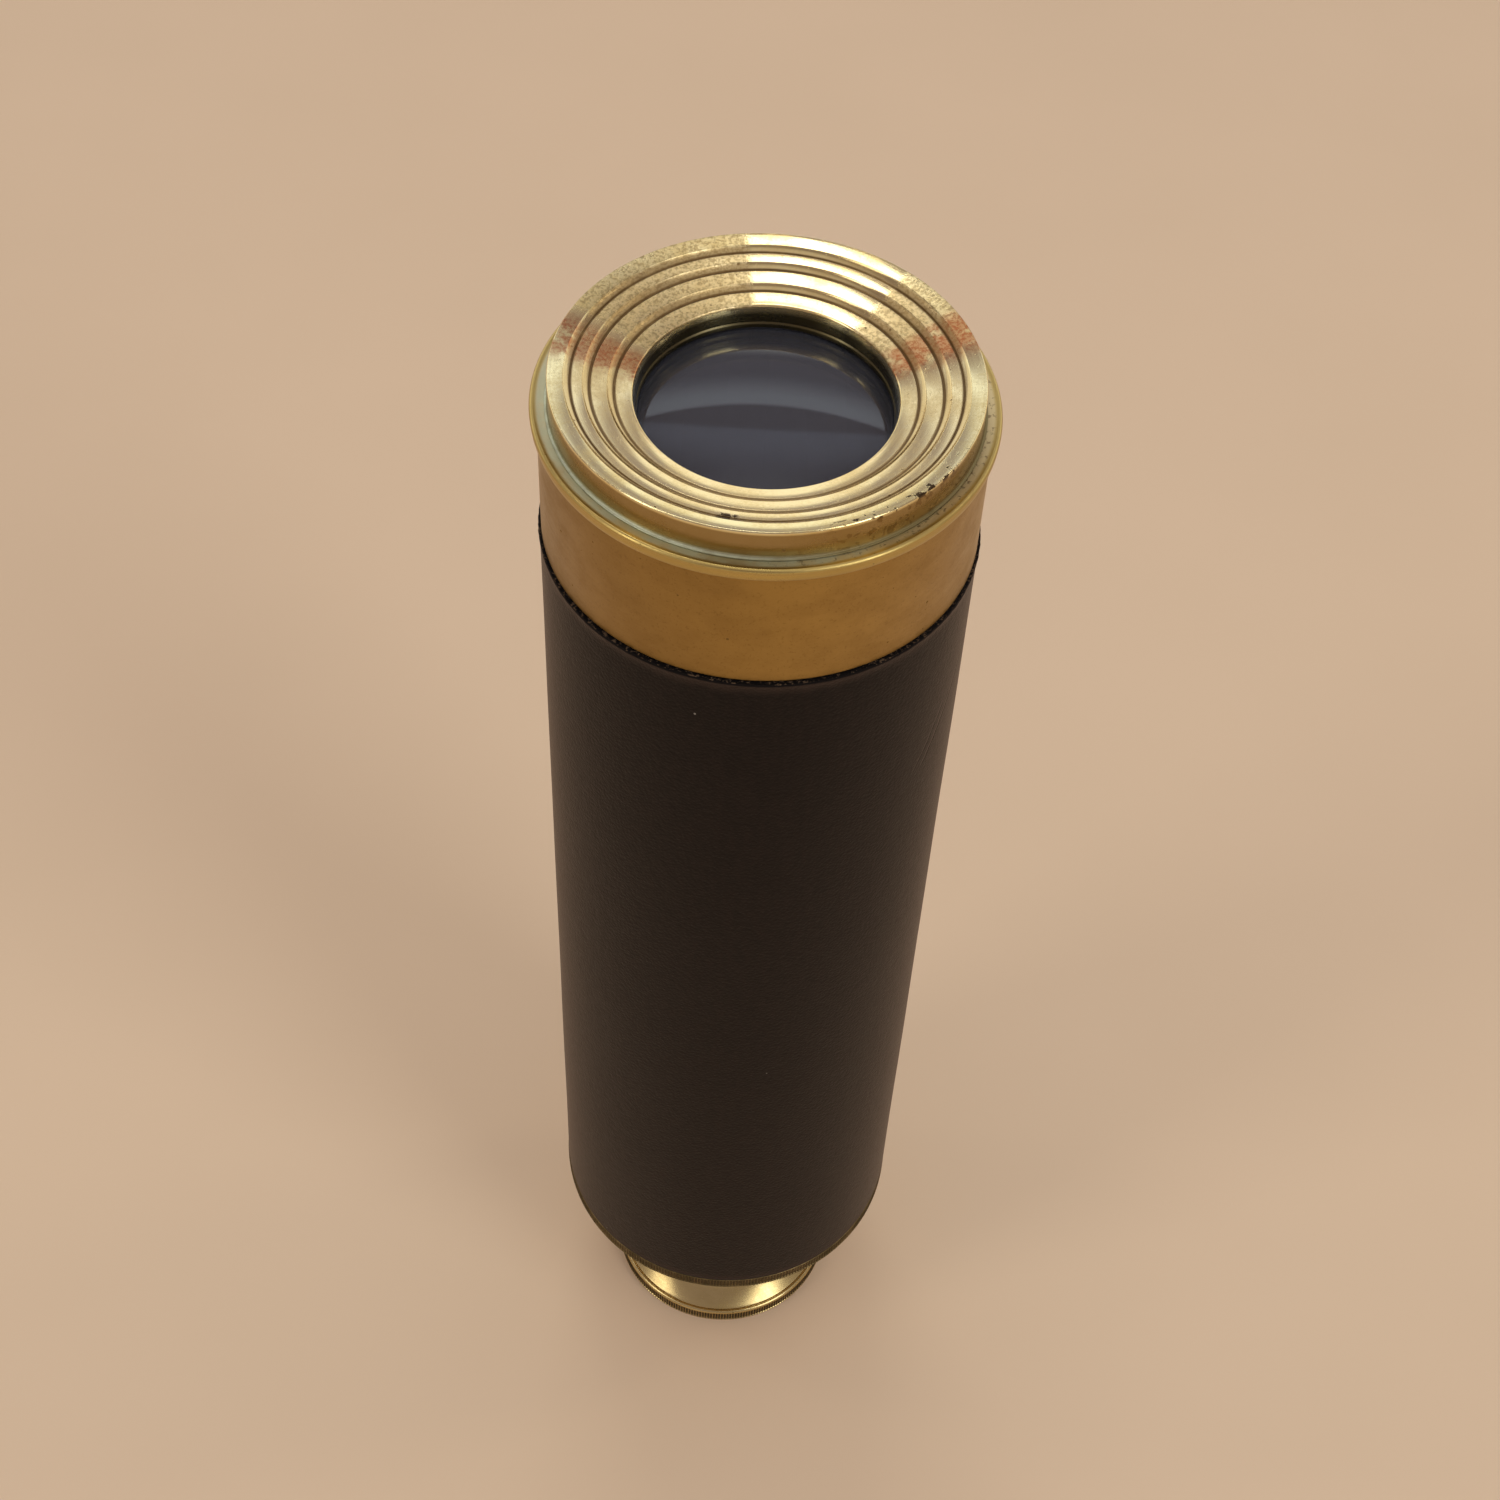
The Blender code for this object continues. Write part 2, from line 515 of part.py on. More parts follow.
def make_eye_cup(body):
    """The flared foot: a rim, a hollow flare up to the neck, a bowl for the eye, and a spigot."""
    bowl_mouth = CUP_RIM_RADIUS - CUP_LIP_WIDTH
    lens_seat = CUP_DEPTH + EYE_HOLE_WALL
    spigot_top = CUP_SHOULDER_Z + CUP_SPIGOT_LENGTH
    flare_foot = (CUP_RIM_RADIUS - CUP_BEAD_WIDTH, CUP_RIM_HEIGHT)
    flare_head = (CUP_NECK_RADIUS, CUP_RIM_HEIGHT + CUP_FLARE_HEIGHT)
    bowl = quarter((bowl_mouth, CUP_RIM_EDGE), (EYE_HOLE_RADIUS, CUP_DEPTH))
    outline = [
        (bowl_mouth + CUP_RIM_EDGE, 0),
        (CUP_RIM_RADIUS - CUP_RIM_EDGE, 0),
        (CUP_RIM_RADIUS, CUP_RIM_EDGE),
        (CUP_RIM_RADIUS, CUP_RIM_HEIGHT - CUP_RIM_EDGE),
        (CUP_RIM_RADIUS - CUP_RIM_EDGE, CUP_RIM_HEIGHT),
        *hollow(flare_foot, flare_head, CUP_FLARE_HOLLOW),
        (CUP_NECK_RADIUS, CUP_SHOULDER_Z),
        (CUP_SPIGOT_RADIUS, CUP_SHOULDER_Z),
        (CUP_SPIGOT_RADIUS, spigot_top),
        (EYE_LENS_BORE, spigot_top),
        (EYE_LENS_BORE, lens_seat),
        (EYE_HOLE_RADIUS, lens_seat),
        *bowl[::-1],
    ]
    turned("eye_cup", outline, BRASS, body)


def make_eye_lens(body):
    """A plano-convex lens, its flat face towards the eye, and its threaded ring."""
    bottom = CUP_DEPTH + EYE_HOLE_WALL + SEAT_GAP
    lens = lens_outline(EYE_LENS_CURVE, EYE_LENS_RADIUS, bottom + EYE_LENS_THICKNESS, bottom)
    turned("eye_lens", lens, GLASS, body, closed=False)
    ring_bottom = bottom + EYE_LENS_THICKNESS + SEAT_GAP
    ring_top = ring_bottom + EYE_RING_HEIGHT
    ring = sleeve_outline(EYE_LENS_RADIUS - EYE_RING_WIDTH, EYE_LENS_RADIUS, ring_bottom, ring_top)
    spanner_slots(turned("eye_lens_ring", ring, BLACKENED, body), EYE_LENS_RADIUS, ring_top, "eye_ring_slots")


def triangle(inradius):
    """The corners of an equilateral triangle whose sides face the three mirrors."""
    corner = Vector((0, -2 * inradius))
    return [corner @ Matrix.Rotation(math.tau * k / MIRRORS, 2) for k in range(MIRRORS)]


def make_mirrors(body):
    for number in range(MIRRORS):
        half = MIRROR_WIDTH / 2
        bm = box((-half, MIRROR_INRADIUS, MIRROR_BOTTOM_Z), (half, MIRROR_BACK, MIRROR_TOP_Z))
        piece = place(f"mirror_{number + 1}", bm, MIRROR, body)
        piece.rotation_euler.z = math.tau * number / MIRRORS


def make_cork_packing(body):
    """A strip behind each mirror, flat on the tape and round against the draw tube."""
    radius = DRAW_FIT_RADIUS
    flat = MIRROR_BACK + 2 * SEAT_GAP + TAPE_THICKNESS
    reach = math.acos(flat / radius)
    steps = 6
    arc = [reach * (1 - 2 * step / steps) for step in range(steps + 1)]
    points = [(radius * math.sin(angle), radius * math.cos(angle)) for angle in arc]
    for number in range(MIRRORS):
        bm = prism(points, MIRROR_BOTTOM_Z + CORK_FROM_END, MIRROR_TOP_Z - CORK_FROM_END)
        piece = place(f"cork_packing_{number + 1}", bm, CORK, body)
        piece.rotation_euler.z = math.tau * number / MIRRORS


def make_tape(name, bottom, body):
    """A band of cloth tape round the three mirrors, straight from each one's corner to the next."""
    half = MIRROR_WIDTH / 2
    inner_scale = 1 + SEAT_GAP / MIRROR_BACK
    outer_scale = inner_scale + TAPE_THICKNESS / MIRROR_BACK
    corners = []
    for number in range(MIRRORS):
        turn = Matrix.Rotation(math.tau * number / MIRRORS, 2)
        corners += [turn @ Vector((half, MIRROR_BACK)), turn @ Vector((-half, MIRROR_BACK))]
    bm = bmesh.new()
    loops = []
    for scale, height in (
        (inner_scale, bottom),
        (outer_scale, bottom),
        (outer_scale, bottom + TAPE_WIDTH),
        (inner_scale, bottom + TAPE_WIDTH),
    ):
        loops.append([bm.verts.new((*(corner * scale), height)) for corner in corners])
    for loop, following in zip(loops, loops[1:] + loops[:1]):
        for k in range(len(corners)):
            bm.faces.new((loop[k - 1], loop[k], following[k], following[k - 1]))
    place(name, bm, TAPE, body)


def make_mirror_seats(body):
    """A rear seat with a round window, a front seat with a triangular one, and the ring above them."""
    window = MIRROR_INRADIUS - REAR_WINDOW_LEDGE
    rear = sleeve_outline(window, DRAW_FIT_RADIUS, REAR_SEAT_Z, REAR_SEAT_Z + SEAT_THICKNESS)
    turned("rear_mirror_seat", rear, BLACKENED, body)
    disc = [(0, FRONT_SEAT_Z + SEAT_THICKNESS), (DRAW_FIT_RADIUS, FRONT_SEAT_Z + SEAT_THICKNESS)]
    disc += [(DRAW_FIT_RADIUS, FRONT_SEAT_Z), (0, FRONT_SEAT_Z)]
    front = turned("front_mirror_seat", disc, BLACKENED, body, closed=False)
    hole = prism(triangle(MIRROR_INRADIUS), FRONT_SEAT_Z - MM, FRONT_SEAT_Z + SEAT_THICKNESS + MM)
    cut(front, hole, "front_window")
    ring_top = MIRROR_RING_Z + MIRROR_RING_HEIGHT
    ring = sleeve_outline(DRAW_FIT_RADIUS - MIRROR_RING_WIDTH, DRAW_FIT_RADIUS, MIRROR_RING_Z, ring_top)
    piece = turned("mirror_retaining_ring", ring, BLACKENED, body)
    spanner_slots(piece, DRAW_FIT_RADIUS, ring_top, "mirror_ring_slots")


for leftover in list(bpy.data.objects):
    bpy.data.objects.remove(leftover)

BRASS = finish("brass", (0.62, 0.42, 0.13), 0.28, 1.0)
SPRING_BRASS = finish("spring_brass", (0.55, 0.38, 0.14), 0.35, 1.0)
BLACKENED = finish("blackened_brass", (0.02, 0.02, 0.022), 0.6, 0.4)
LEATHER = finish("leather", (0.03, 0.016, 0.012), 0.5, 0.0)
GLASS = finish("glass", (0.95, 0.97, 0.98), 0.02, 0.0, 1.0)
MIRROR = finish("mirror", (0.85, 0.87, 0.88), 0.03, 1.0)
CORK = finish("cork", (0.45, 0.28, 0.15), 0.9, 0.0)
TAPE = finish("cloth_tape", (0.05, 0.05, 0.05), 0.8, 0.0)

barrel_body = group("barrel", TAIL_BOTTOM_Z)
slip_body = group("slip_ring", FRICTION_RING_Z)
draw_body = group("draw", FRICTION_RING_Z)

make_barrel(barrel_body)
make_leather(barrel_body)
make_head_collar(barrel_body)
make_bezel(barrel_body)
make_objective(barrel_body)
make_tail_collar(barrel_body)
make_guide_sleeve(barrel_body)
make_friction_ring(slip_body)
make_draw_tube(draw_body)
make_stop_collar(draw_body)
make_eye_cap(draw_body)
make_eye_cup(draw_body)
make_eye_lens(draw_body)
make_mirrors(draw_body)
make_cork_packing(draw_body)
make_tape("rear_binding_tape", MIRROR_BOTTOM_Z + TAPE_FROM_END, draw_body)
make_tape("front_binding_tape", MIRROR_TOP_Z - TAPE_FROM_END - TAPE_WIDTH, draw_body)
make_mirror_seats(draw_body)
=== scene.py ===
import math

import bmesh
import bpy
from mathutils import Matrix, Vector, noise


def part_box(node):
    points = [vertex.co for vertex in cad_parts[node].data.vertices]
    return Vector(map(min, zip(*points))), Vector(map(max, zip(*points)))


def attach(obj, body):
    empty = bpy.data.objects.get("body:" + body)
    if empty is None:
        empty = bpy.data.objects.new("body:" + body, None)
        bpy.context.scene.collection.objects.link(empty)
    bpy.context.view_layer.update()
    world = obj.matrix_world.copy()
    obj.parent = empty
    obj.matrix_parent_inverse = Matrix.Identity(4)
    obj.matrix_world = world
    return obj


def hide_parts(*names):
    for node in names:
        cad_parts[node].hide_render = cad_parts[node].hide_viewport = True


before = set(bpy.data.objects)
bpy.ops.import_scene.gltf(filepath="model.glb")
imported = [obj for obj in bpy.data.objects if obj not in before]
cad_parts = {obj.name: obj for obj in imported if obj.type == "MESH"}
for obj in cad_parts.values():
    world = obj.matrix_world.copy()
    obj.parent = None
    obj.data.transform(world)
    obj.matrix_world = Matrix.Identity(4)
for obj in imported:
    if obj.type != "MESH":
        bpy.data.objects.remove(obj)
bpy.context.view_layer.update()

MM = 0.001


# --- Barrel tube -----------------------------------------------------------------------------
# A drawn brass tube, blackened inside so that no light strays past the mirrors. Everything else on
# the barrel is fitted to it. Its outer side is under the leather, and the head collar slips on it.


class Wire:
    """One socket of a material's nodes. Python's operators on it add Math nodes."""

    def __init__(self, tree, socket):
        self.tree = tree
        self.socket = socket

    def node(self, kind, settings, values, out=0):
        """Adds any node: its settings first, then the values or wires of its sockets."""
        made = self.tree.nodes.new(kind)
        for name, setting in settings.items():
            setattr(made, name, setting)
        for name, value in values.items():
            if isinstance(value, Wire):
                self.tree.links.new(value.socket, made.inputs[name])
            else:
                made.inputs[name].default_value = value
        return Wire(self.tree, made.outputs[out])

    def maths(self, operation, *others):
        inputs = dict(enumerate((self, *others)))
        return self.node("ShaderNodeMath", {"operation": operation}, inputs)

    def __add__(self, other):
        return self.maths("ADD", other)

    def __mul__(self, other):
        return self.maths("MULTIPLY", other)

    def __truediv__(self, other):
        return self.maths("DIVIDE", other)

    def __pow__(self, other):
        return self.maths("POWER", other)

    def __sub__(self, other):
        return self.maths("SUBTRACT", other)

    def __rsub__(self, other):
        return self.node("ShaderNodeMath", {"operation": "SUBTRACT"}, {0: other, 1: self})

    def __abs__(self):
        return self.maths("ABSOLUTE")

    __radd__ = __add__
    __rmul__ = __mul__

    def rise(self, low, high):
        """0 below low, 1 above high and smooth between. It falls where high is the lower."""
        settings = {"interpolation_type": "SMOOTHSTEP"}
        values = {"Value": self, "From Min": low, "From Max": high}
        return self.node("ShaderNodeMapRange", settings, values)

    def blend(self, first, second):
        """The first colour where this is 0, and the second where it is 1."""
        settings = {"data_type": "RGBA", "clamp_factor": True}
        colours = [c if isinstance(c, Wire) else (*c, 1) for c in (first, second)]
        # A Mix node has colour inputs at 6 and 7, and its colour output at 2
        values = {0: self, 6: colours[0], 7: colours[1]}
        return self.node("ShaderNodeMix", settings, values, out=2)


class Finish:
    """A material under way: its shader, and the place on the piece in millimetres."""

    def __init__(self, name):
        self.material = bpy.data.materials.new(name)
        self.material.use_nodes = True
        self.tree = self.material.node_tree
        self.shader = self.tree.nodes["Principled BSDF"]
        coordinates = self.tree.nodes.new("ShaderNodeTexCoord")
        metres = Wire(self.tree, coordinates.outputs["Object"])
        scaling = {0: metres, "Scale": 1 / MM}
        self.place = metres.node("ShaderNodeVectorMath", {"operation": "SCALE"}, scaling)
        self.x, self.y, self.z = (
            self.place.node("ShaderNodeSeparateXYZ", {}, {0: self.place}, out=axis)
            for axis in range(3)
        )
        self.radius = (self.x * self.x + self.y * self.y) ** 0.5

    def point(self, x, y, z):
        return self.place.node("ShaderNodeCombineXYZ", {}, {0: x, 1: y, 2: z})

    def noise(self, place, scale, detail=2.0, roughness=0.5):
        values = {"Vector": place, "Scale": scale, "Detail": detail, "Roughness": roughness}
        return self.place.node("ShaderNodeTexNoise", {}, values)

    def cells(self, place, scale, out, feature="F1"):
        """Cells of random shape. out 0 is the distance from a cell's middle, 1 its own colour."""
        values = {"Vector": place, "Scale": scale}
        return self.place.node("ShaderNodeTexVoronoi", {"feature": feature}, values, out)

    def specks(self, scale, share, size):
        """Small round spots, in about that share of the cells, up to that size in cells."""
        middle = self.cells(self.place, scale, 0)
        tint = self.cells(self.place, scale, 1)
        chance = self.place.node("ShaderNodeSeparateColor", {}, {0: tint})
        reach = (chance - (1 - share)) * (size / share)
        return (reach - middle).rise(0, size * 0.3)

    def towards(self, degrees):
        """1 on the side that faces that direction, 0 at right angles to it, and -1 opposite."""
        angle = math.radians(degrees)
        return (self.x * math.cos(angle) + self.y * math.sin(angle)) / self.radius

    def bump(self, height, depth, strength=1.0):
        """A Bump node for a height of 0 to 1 that stands for that depth in millimetres."""
        values = {"Strength": strength, "Distance": depth * MM, "Height": height}
        return height.node("ShaderNodeBump", {}, values)

    def wire(self, **sockets):
        """Joins wires to the shader's sockets, or sets the values that are the same all over."""
        for name, value in sockets.items():
            socket = self.shader.inputs[name.replace("_", " ")]
            if isinstance(value, Wire):
                self.tree.links.new(value.socket, socket)
            else:
                socket.default_value = value
        return self.material


BARREL_BORE = 20.45
PIT_DIRT = (0.05, 0.03, 0.012)
BORE_BLACK = (0.012, 0.012, 0.013)
MARK_DEPTH = 0.012


def brass(name, bright, dull, roughness, marks=0.5, extra=None):
    """Turned brass. Fine marks run round it, tarnish clouds it, and dirt settles in small pits."""
    finish = Finish(name)
    rings = finish.point(finish.radius, finish.z, 0)
    fine = finish.noise(rings, 5.0, 3.0)
    cloud = finish.noise(finish.place, 0.16, 4.0, 0.6)
    etched = finish.noise(finish.place, 3.2, 2.0, 0.7)
    tarnish = (cloud * 0.75 + etched * 0.25).rise(0.36, 0.66)
    colour = tarnish.blend(bright, dull)
    pits = finish.specks(0.85, 0.3, 0.16)
    colour = (pits * 0.8).blend(colour, PIT_DIRT)
    rough = tarnish * 0.10 + fine * 0.12 + roughness + pits * 0.4
    height = fine * marks - pits
    if extra:
        colour, rough, height = extra(finish, colour, rough, height)
    normal = finish.bump(height, MARK_DEPTH)
    return finish.wire(Base_Color=colour, Roughness=rough, Metallic=1.0, Normal=normal)


def blackened_bore(finish, colour, rough, height):
    """Matt black on the tube's inner side."""
    black = finish.radius.rise(BARREL_BORE + 0.45, BARREL_BORE + 0.25)
    return black.blend(colour, BORE_BLACK), rough + black * 0.35, height


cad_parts["barrel_tube"].data.materials[0] = brass(
    "barrel_brass", (0.70, 0.47, 0.17), (0.42, 0.26, 0.08), 0.25, extra=blackened_bore
)


# --- Leather cover ---------------------------------------------------------------------------
# Thin dark brown goatskin, glued round the barrel tube with a butt seam down the back. Its ends
# are cut raw and stained dark. It is slightly uneven over the glue, and worn paler at its edges.

leather_low, leather_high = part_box("leather_cover")
LEATHER_RADIUS = leather_high.x / MM
LEATHER_THICKNESS = 0.75
LEATHER_INNER = LEATHER_RADIUS - LEATHER_THICKNESS
LEATHER_BOTTOM, LEATHER_TOP = leather_low.z / MM, leather_high.z / MM
LEATHER_STEPS_ROUND = 480
LEATHER_STEPS_UP = 100
ROW_CROWDING = 0.985
GLUE_UNEVENNESS = 0.012
SEAM_DIRECTION = 97.0
SEAM_DEPTH, SEAM_WIDTH = 0.22, 0.22
SEAM_LIP, SEAM_LIP_OFFSET, SEAM_LIP_WIDTH = 0.05, 0.8, 0.5
TOP_LIFT, TOP_LIFT_LENGTH = 0.15, 0.8
EDGE_ROLL, EDGE_ROLL_LENGTH = 0.08, 0.15
EDGE_INSET = 0.06
CREASE_HEIGHT, SECOND_CREASE_HEIGHT, CREASE_SLOPE = 134.5, 132.0, 1.55


def mesh_piece(name, bm, material, smooth=38):
    """The bmesh as a named object with that material, its points merged and its faces out."""
    bmesh.ops.remove_doubles(bm, verts=bm.verts, dist=0.002 * MM)
    bmesh.ops.recalc_face_normals(bm, faces=bm.faces)
    mesh = bpy.data.meshes.new(name)
    bm.to_mesh(mesh)
    bm.free()
    mesh.shade_smooth()
    mesh.set_sharp_from_angle(angle=math.radians(smooth))
    mesh.materials.append(material)
    piece = bpy.data.objects.new(name, mesh)
    bpy.context.scene.collection.objects.link(piece)
    return piece


def hump(distance, width):
    """1 at no distance, falling smoothly to almost 0 at twice the width."""
    return math.exp(-((distance / width) ** 2))


def leather_surface(angle, along):
    """The outer radius, and the shift of the cut top, at an angle and a share of the length."""
    wave = math.sin(3 * angle + 9 * along) + math.sin(5 * angle - 14 * along + 1)
    wave += math.sin(2 * angle + 23 * along + 2)
    seam = math.remainder(angle - math.radians(SEAM_DIRECTION), math.tau) * LEATHER_RADIUS
    lip = SEAM_LIP * hump(abs(seam) - SEAM_LIP_OFFSET, SEAM_LIP_WIDTH)
    dip = SEAM_DEPTH * hump(seam, SEAM_WIDTH) - lip
    edge = min(along, 1 - along) * (LEATHER_TOP - LEATHER_BOTTOM)
    frayed = noise.noise(Vector((math.cos(angle), math.sin(angle), 0)) * 40)
    lifted = (TOP_LIFT + 0.06 * frayed) * hump(edge, TOP_LIFT_LENGTH) if along > 0.5 else 0
    rolled = EDGE_ROLL * hump(edge, EDGE_ROLL_LENGTH)
    shift = 0.04 * math.sin(7 * angle + 1) + 0.03 * math.sin(17 * angle) + 0.12 * frayed
    return LEATHER_RADIUS + GLUE_UNEVENNESS * wave - dip - rolled + lifted, shift


def leather_sleeve():
    """The cover as rings of points up its outer side, closed along its inner side."""
    bm = bmesh.new()
    columns = []
    for column in range(LEATHER_STEPS_ROUND):
        angle = math.tau * column / LEATHER_STEPS_ROUND + math.radians(SEAM_DIRECTION)
        loop = []
        for row in range(LEATHER_STEPS_UP + 1):
            # Rows crowd towards both ends, where the edge rolls over
            share = row / LEATHER_STEPS_UP
            along = share - ROW_CROWDING * math.sin(math.tau * share) / math.tau
            radius, shift = leather_surface(angle, along)
            height = LEATHER_BOTTOM + along * (LEATHER_TOP - LEATHER_BOTTOM)
            if along > 0.5:
                height += shift * abs(2 * along - 1) ** 60
            loop.append((radius, min(height, LEATHER_TOP)))
        loop.append((LEATHER_INNER, LEATHER_TOP - EDGE_INSET))
        loop.append((LEATHER_INNER, LEATHER_BOTTOM + EDGE_INSET))
        turn = (math.cos(angle), math.sin(angle))
        points = [(r * turn[0] * MM, r * turn[1] * MM, z * MM) for r, z in loop]
        columns.append([bm.verts.new(point) for point in points])
    for column, following in zip(columns, columns[1:] + columns[:1]):
        for k in range(len(column)):
            bm.faces.new((column[k - 1], following[k - 1], following[k], column[k]))
    return bm


def leather(name):
    """Fine pebbled grain in soft folds, dust caught in it, two faint creases, and worn edges."""
    finish = Finish(name)
    drift = finish.noise(finish.place, 0.45, 3.0)
    pebble = finish.cells(finish.place, 2.6, 0)
    small = finish.cells(finish.place, 6.5, 0)
    fold = finish.noise(finish.place, 0.9, 4.0, 0.6)
    stretched = finish.point(finish.x, finish.y, finish.z * 0.25)
    streak = finish.noise(stretched, 1.6, 3.0)
    round_way = finish.y.maths("ARCTAN2", finish.x) * LEATHER_RADIUS
    wander = drift * 1.4 - 0.7
    above = finish.z - CREASE_HEIGHT
    off_line = above - (round_way + 9.2) * CREASE_SLOPE + wander
    crease = abs(off_line).rise(0.55, 0.0) * abs(above).rise(8.0, 3.5)
    second = abs(off_line - 2.6).rise(0.45, 0.0)
    second = second * abs(finish.z - SECOND_CREASE_HEIGHT).rise(5.0, 2.0)
    creases = (crease + second * 0.6) * abs(round_way + 9).rise(9.0, 7.0)
    edge = abs(finish.z - (LEATHER_BOTTOM + LEATHER_TOP) / 2)
    half = (LEATHER_TOP - LEATHER_BOTTOM) / 2
    worn = (edge + drift * 1.6).rise(half - 1.2, half + 0.6) * 0.4
    stained = edge.rise(half - 0.40, half - 0.22)
    chips = finish.noise(finish.place, 3.0, 3.0, 0.6).rise(0.54, 0.60)
    chips = chips * edge.rise(half - 0.10, half - 0.03)
    colour = streak.rise(0.35, 0.7).blend((0.0042, 0.0021, 0.0019), (0.0075, 0.0038, 0.0032))
    colour = (pebble.rise(0.25, 0.75) * 0.45).blend(colour, (0.0026, 0.0014, 0.0013))
    colour = worn.blend(colour, (0.055, 0.033, 0.024))
    colour = stained.blend(colour, (0.004, 0.003, 0.003))
    colour = (chips * 0.7).blend(colour, (0.15, 0.10, 0.06))
    dust = finish.specks(0.20, 0.35, 0.035)
    colour = (dust * 0.8).blend(colour, (0.30, 0.28, 0.25))
    lint = finish.specks(0.9, 0.12, 0.05)
    colour = (lint * 0.4).blend(colour, (0.12, 0.11, 0.10))
    rough = fold * 0.12 + small * 0.08 + 0.36 + worn * 0.2 + stained * 0.3
    height = pebble * -0.55 + small * -0.25 + fold * 0.5 - creases * 1.2
    normal = finish.bump(height, 0.055, 0.8)
    finish.wire(Specular_IOR_Level=0.12, Sheen_Weight=0.2, Sheen_Roughness=0.3)
    finish.wire(Sheen_Tint=(1.0, 0.70, 0.50, 1.0))
    return finish.wire(Base_Color=colour, Roughness=rough, Normal=normal)


cover = mesh_piece("leather_sleeve", leather_sleeve(), leather("goatskin"))
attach(cover, "barrel")
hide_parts("leather_cover")


# --- Head collar -----------------------------------------------------------------------------
# A turned brass band, flush with the leather, that slips over the barrel's end and carries a beaded
# flange. Handling has dulled the band to brown gold, one side of it is darkened with painted shade,
# and there is verdigris on the flange.

ROUND_STEPS = 256
ALMOST_STRAIGHT = math.radians(14)


def softened(outline, radius=0.10, steps=3):
    """The closed (radius, height) outline with its corners rounded, by less on short sides."""
    made = []
    previous, following = outline[-1:] + outline[:-1], outline[1:] + outline[:1]
    for before, corner, after in zip(previous, outline, following):
        corner, before, after = Vector(corner), Vector(before), Vector(after)
        back, ahead = before - corner, after - corner
        if not back.length or not ahead.length or back.angle(-ahead) < ALMOST_STRAIGHT:
            made.append(tuple(corner))
            continue
        reach = min(radius, back.length * 0.45, ahead.length * 0.45)
        start = corner + back.normalized() * reach
        end = corner + ahead.normalized() * reach
        for step in range(steps + 1):
            t = step / steps
            made.append(tuple(start * (1 - t) ** 2 + corner * 2 * t * (1 - t) + end * t**2))
    return made


def turned(name, outline, material, rounding=0.10, closed=True):
    """A piece turned round Z from a (radius, height) outline in millimetres."""
    points = softened(outline, rounding) if closed else outline
    bm = bmesh.new()
    verts = [bm.verts.new((radius * MM, 0, height * MM)) for radius, height in points]
    ends = verts[1:] + verts[:1] if closed else verts[1:]
    edges = [bm.edges.new(pair) for pair in zip(verts, ends)]
    bmesh.ops.spin(
        bm,
        geom=verts + edges,
        cent=(0, 0, 0),
        axis=(0, 0, 1),
        angle=math.tau,
        steps=ROUND_STEPS,
        use_merge=True,
    )
    return mesh_piece(name, bm, material)


def swelled(start, end, height, steps=6):
    """Points from start to end along a shallow arc that stands that far off the straight line."""
    start, end = Vector(start), Vector(end)
    side = Vector((start.y - end.y, end.x - start.x)).normalized()
    made = []
    for step in range(steps + 1):
        t = step / steps
        made.append(tuple(start.lerp(end, t) + side * height * 4 * t * (1 - t)))
    return made


collar_low, collar_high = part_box("head_collar")
FLANGE_RADIUS, FLANGE_TOP = collar_high.x / MM, collar_high.z / MM
FLANGE_OVERHANG, FLANGE_HEIGHT = 0.67, 1.8
BAND_RADIUS, BAND_BOTTOM = FLANGE_RADIUS - FLANGE_OVERHANG, collar_low.z / MM
FLANGE_BOTTOM = FLANGE_TOP - FLANGE_HEIGHT
FLANGE_BEAD_BOTTOM = FLANGE_BOTTOM + 0.30
BAND_BORE = LEATHER_INNER
HEAD_BORE = 19.5
HEAD_SHOULDER_DROP = 2.7
HEAD_SHOULDER = FLANGE_BOTTOM - HEAD_SHOULDER_DROP

head_outline = [
    (BAND_BORE, BAND_BOTTOM),
    (BAND_RADIUS, BAND_BOTTOM),
    (BAND_RADIUS, FLANGE_BEAD_BOTTOM - 0.12),
    (BAND_RADIUS + 0.10, FLANGE_BEAD_BOTTOM),
    (FLANGE_RADIUS - 0.26, FLANGE_BEAD_BOTTOM + 0.03),
    *swelled(
        (FLANGE_RADIUS - 0.16, FLANGE_BEAD_BOTTOM + 0.12),
        (FLANGE_RADIUS - 0.04, FLANGE_TOP - 0.50),
        -0.05,
    ),
    *swelled((FLANGE_RADIUS, FLANGE_TOP - 0.40), (FLANGE_RADIUS - 0.36, FLANGE_TOP - 0.02), -0.10),
    (FLANGE_RADIUS - 0.60, FLANGE_TOP - 0.10),
    (FLANGE_RADIUS - 1.20, FLANGE_TOP - 0.16),
    (HEAD_BORE, FLANGE_TOP - 0.16),
    (HEAD_BORE, HEAD_SHOULDER),
    (BAND_BORE, HEAD_SHOULDER),
]


VERDIGRIS = (0.62, 0.66, 0.49)


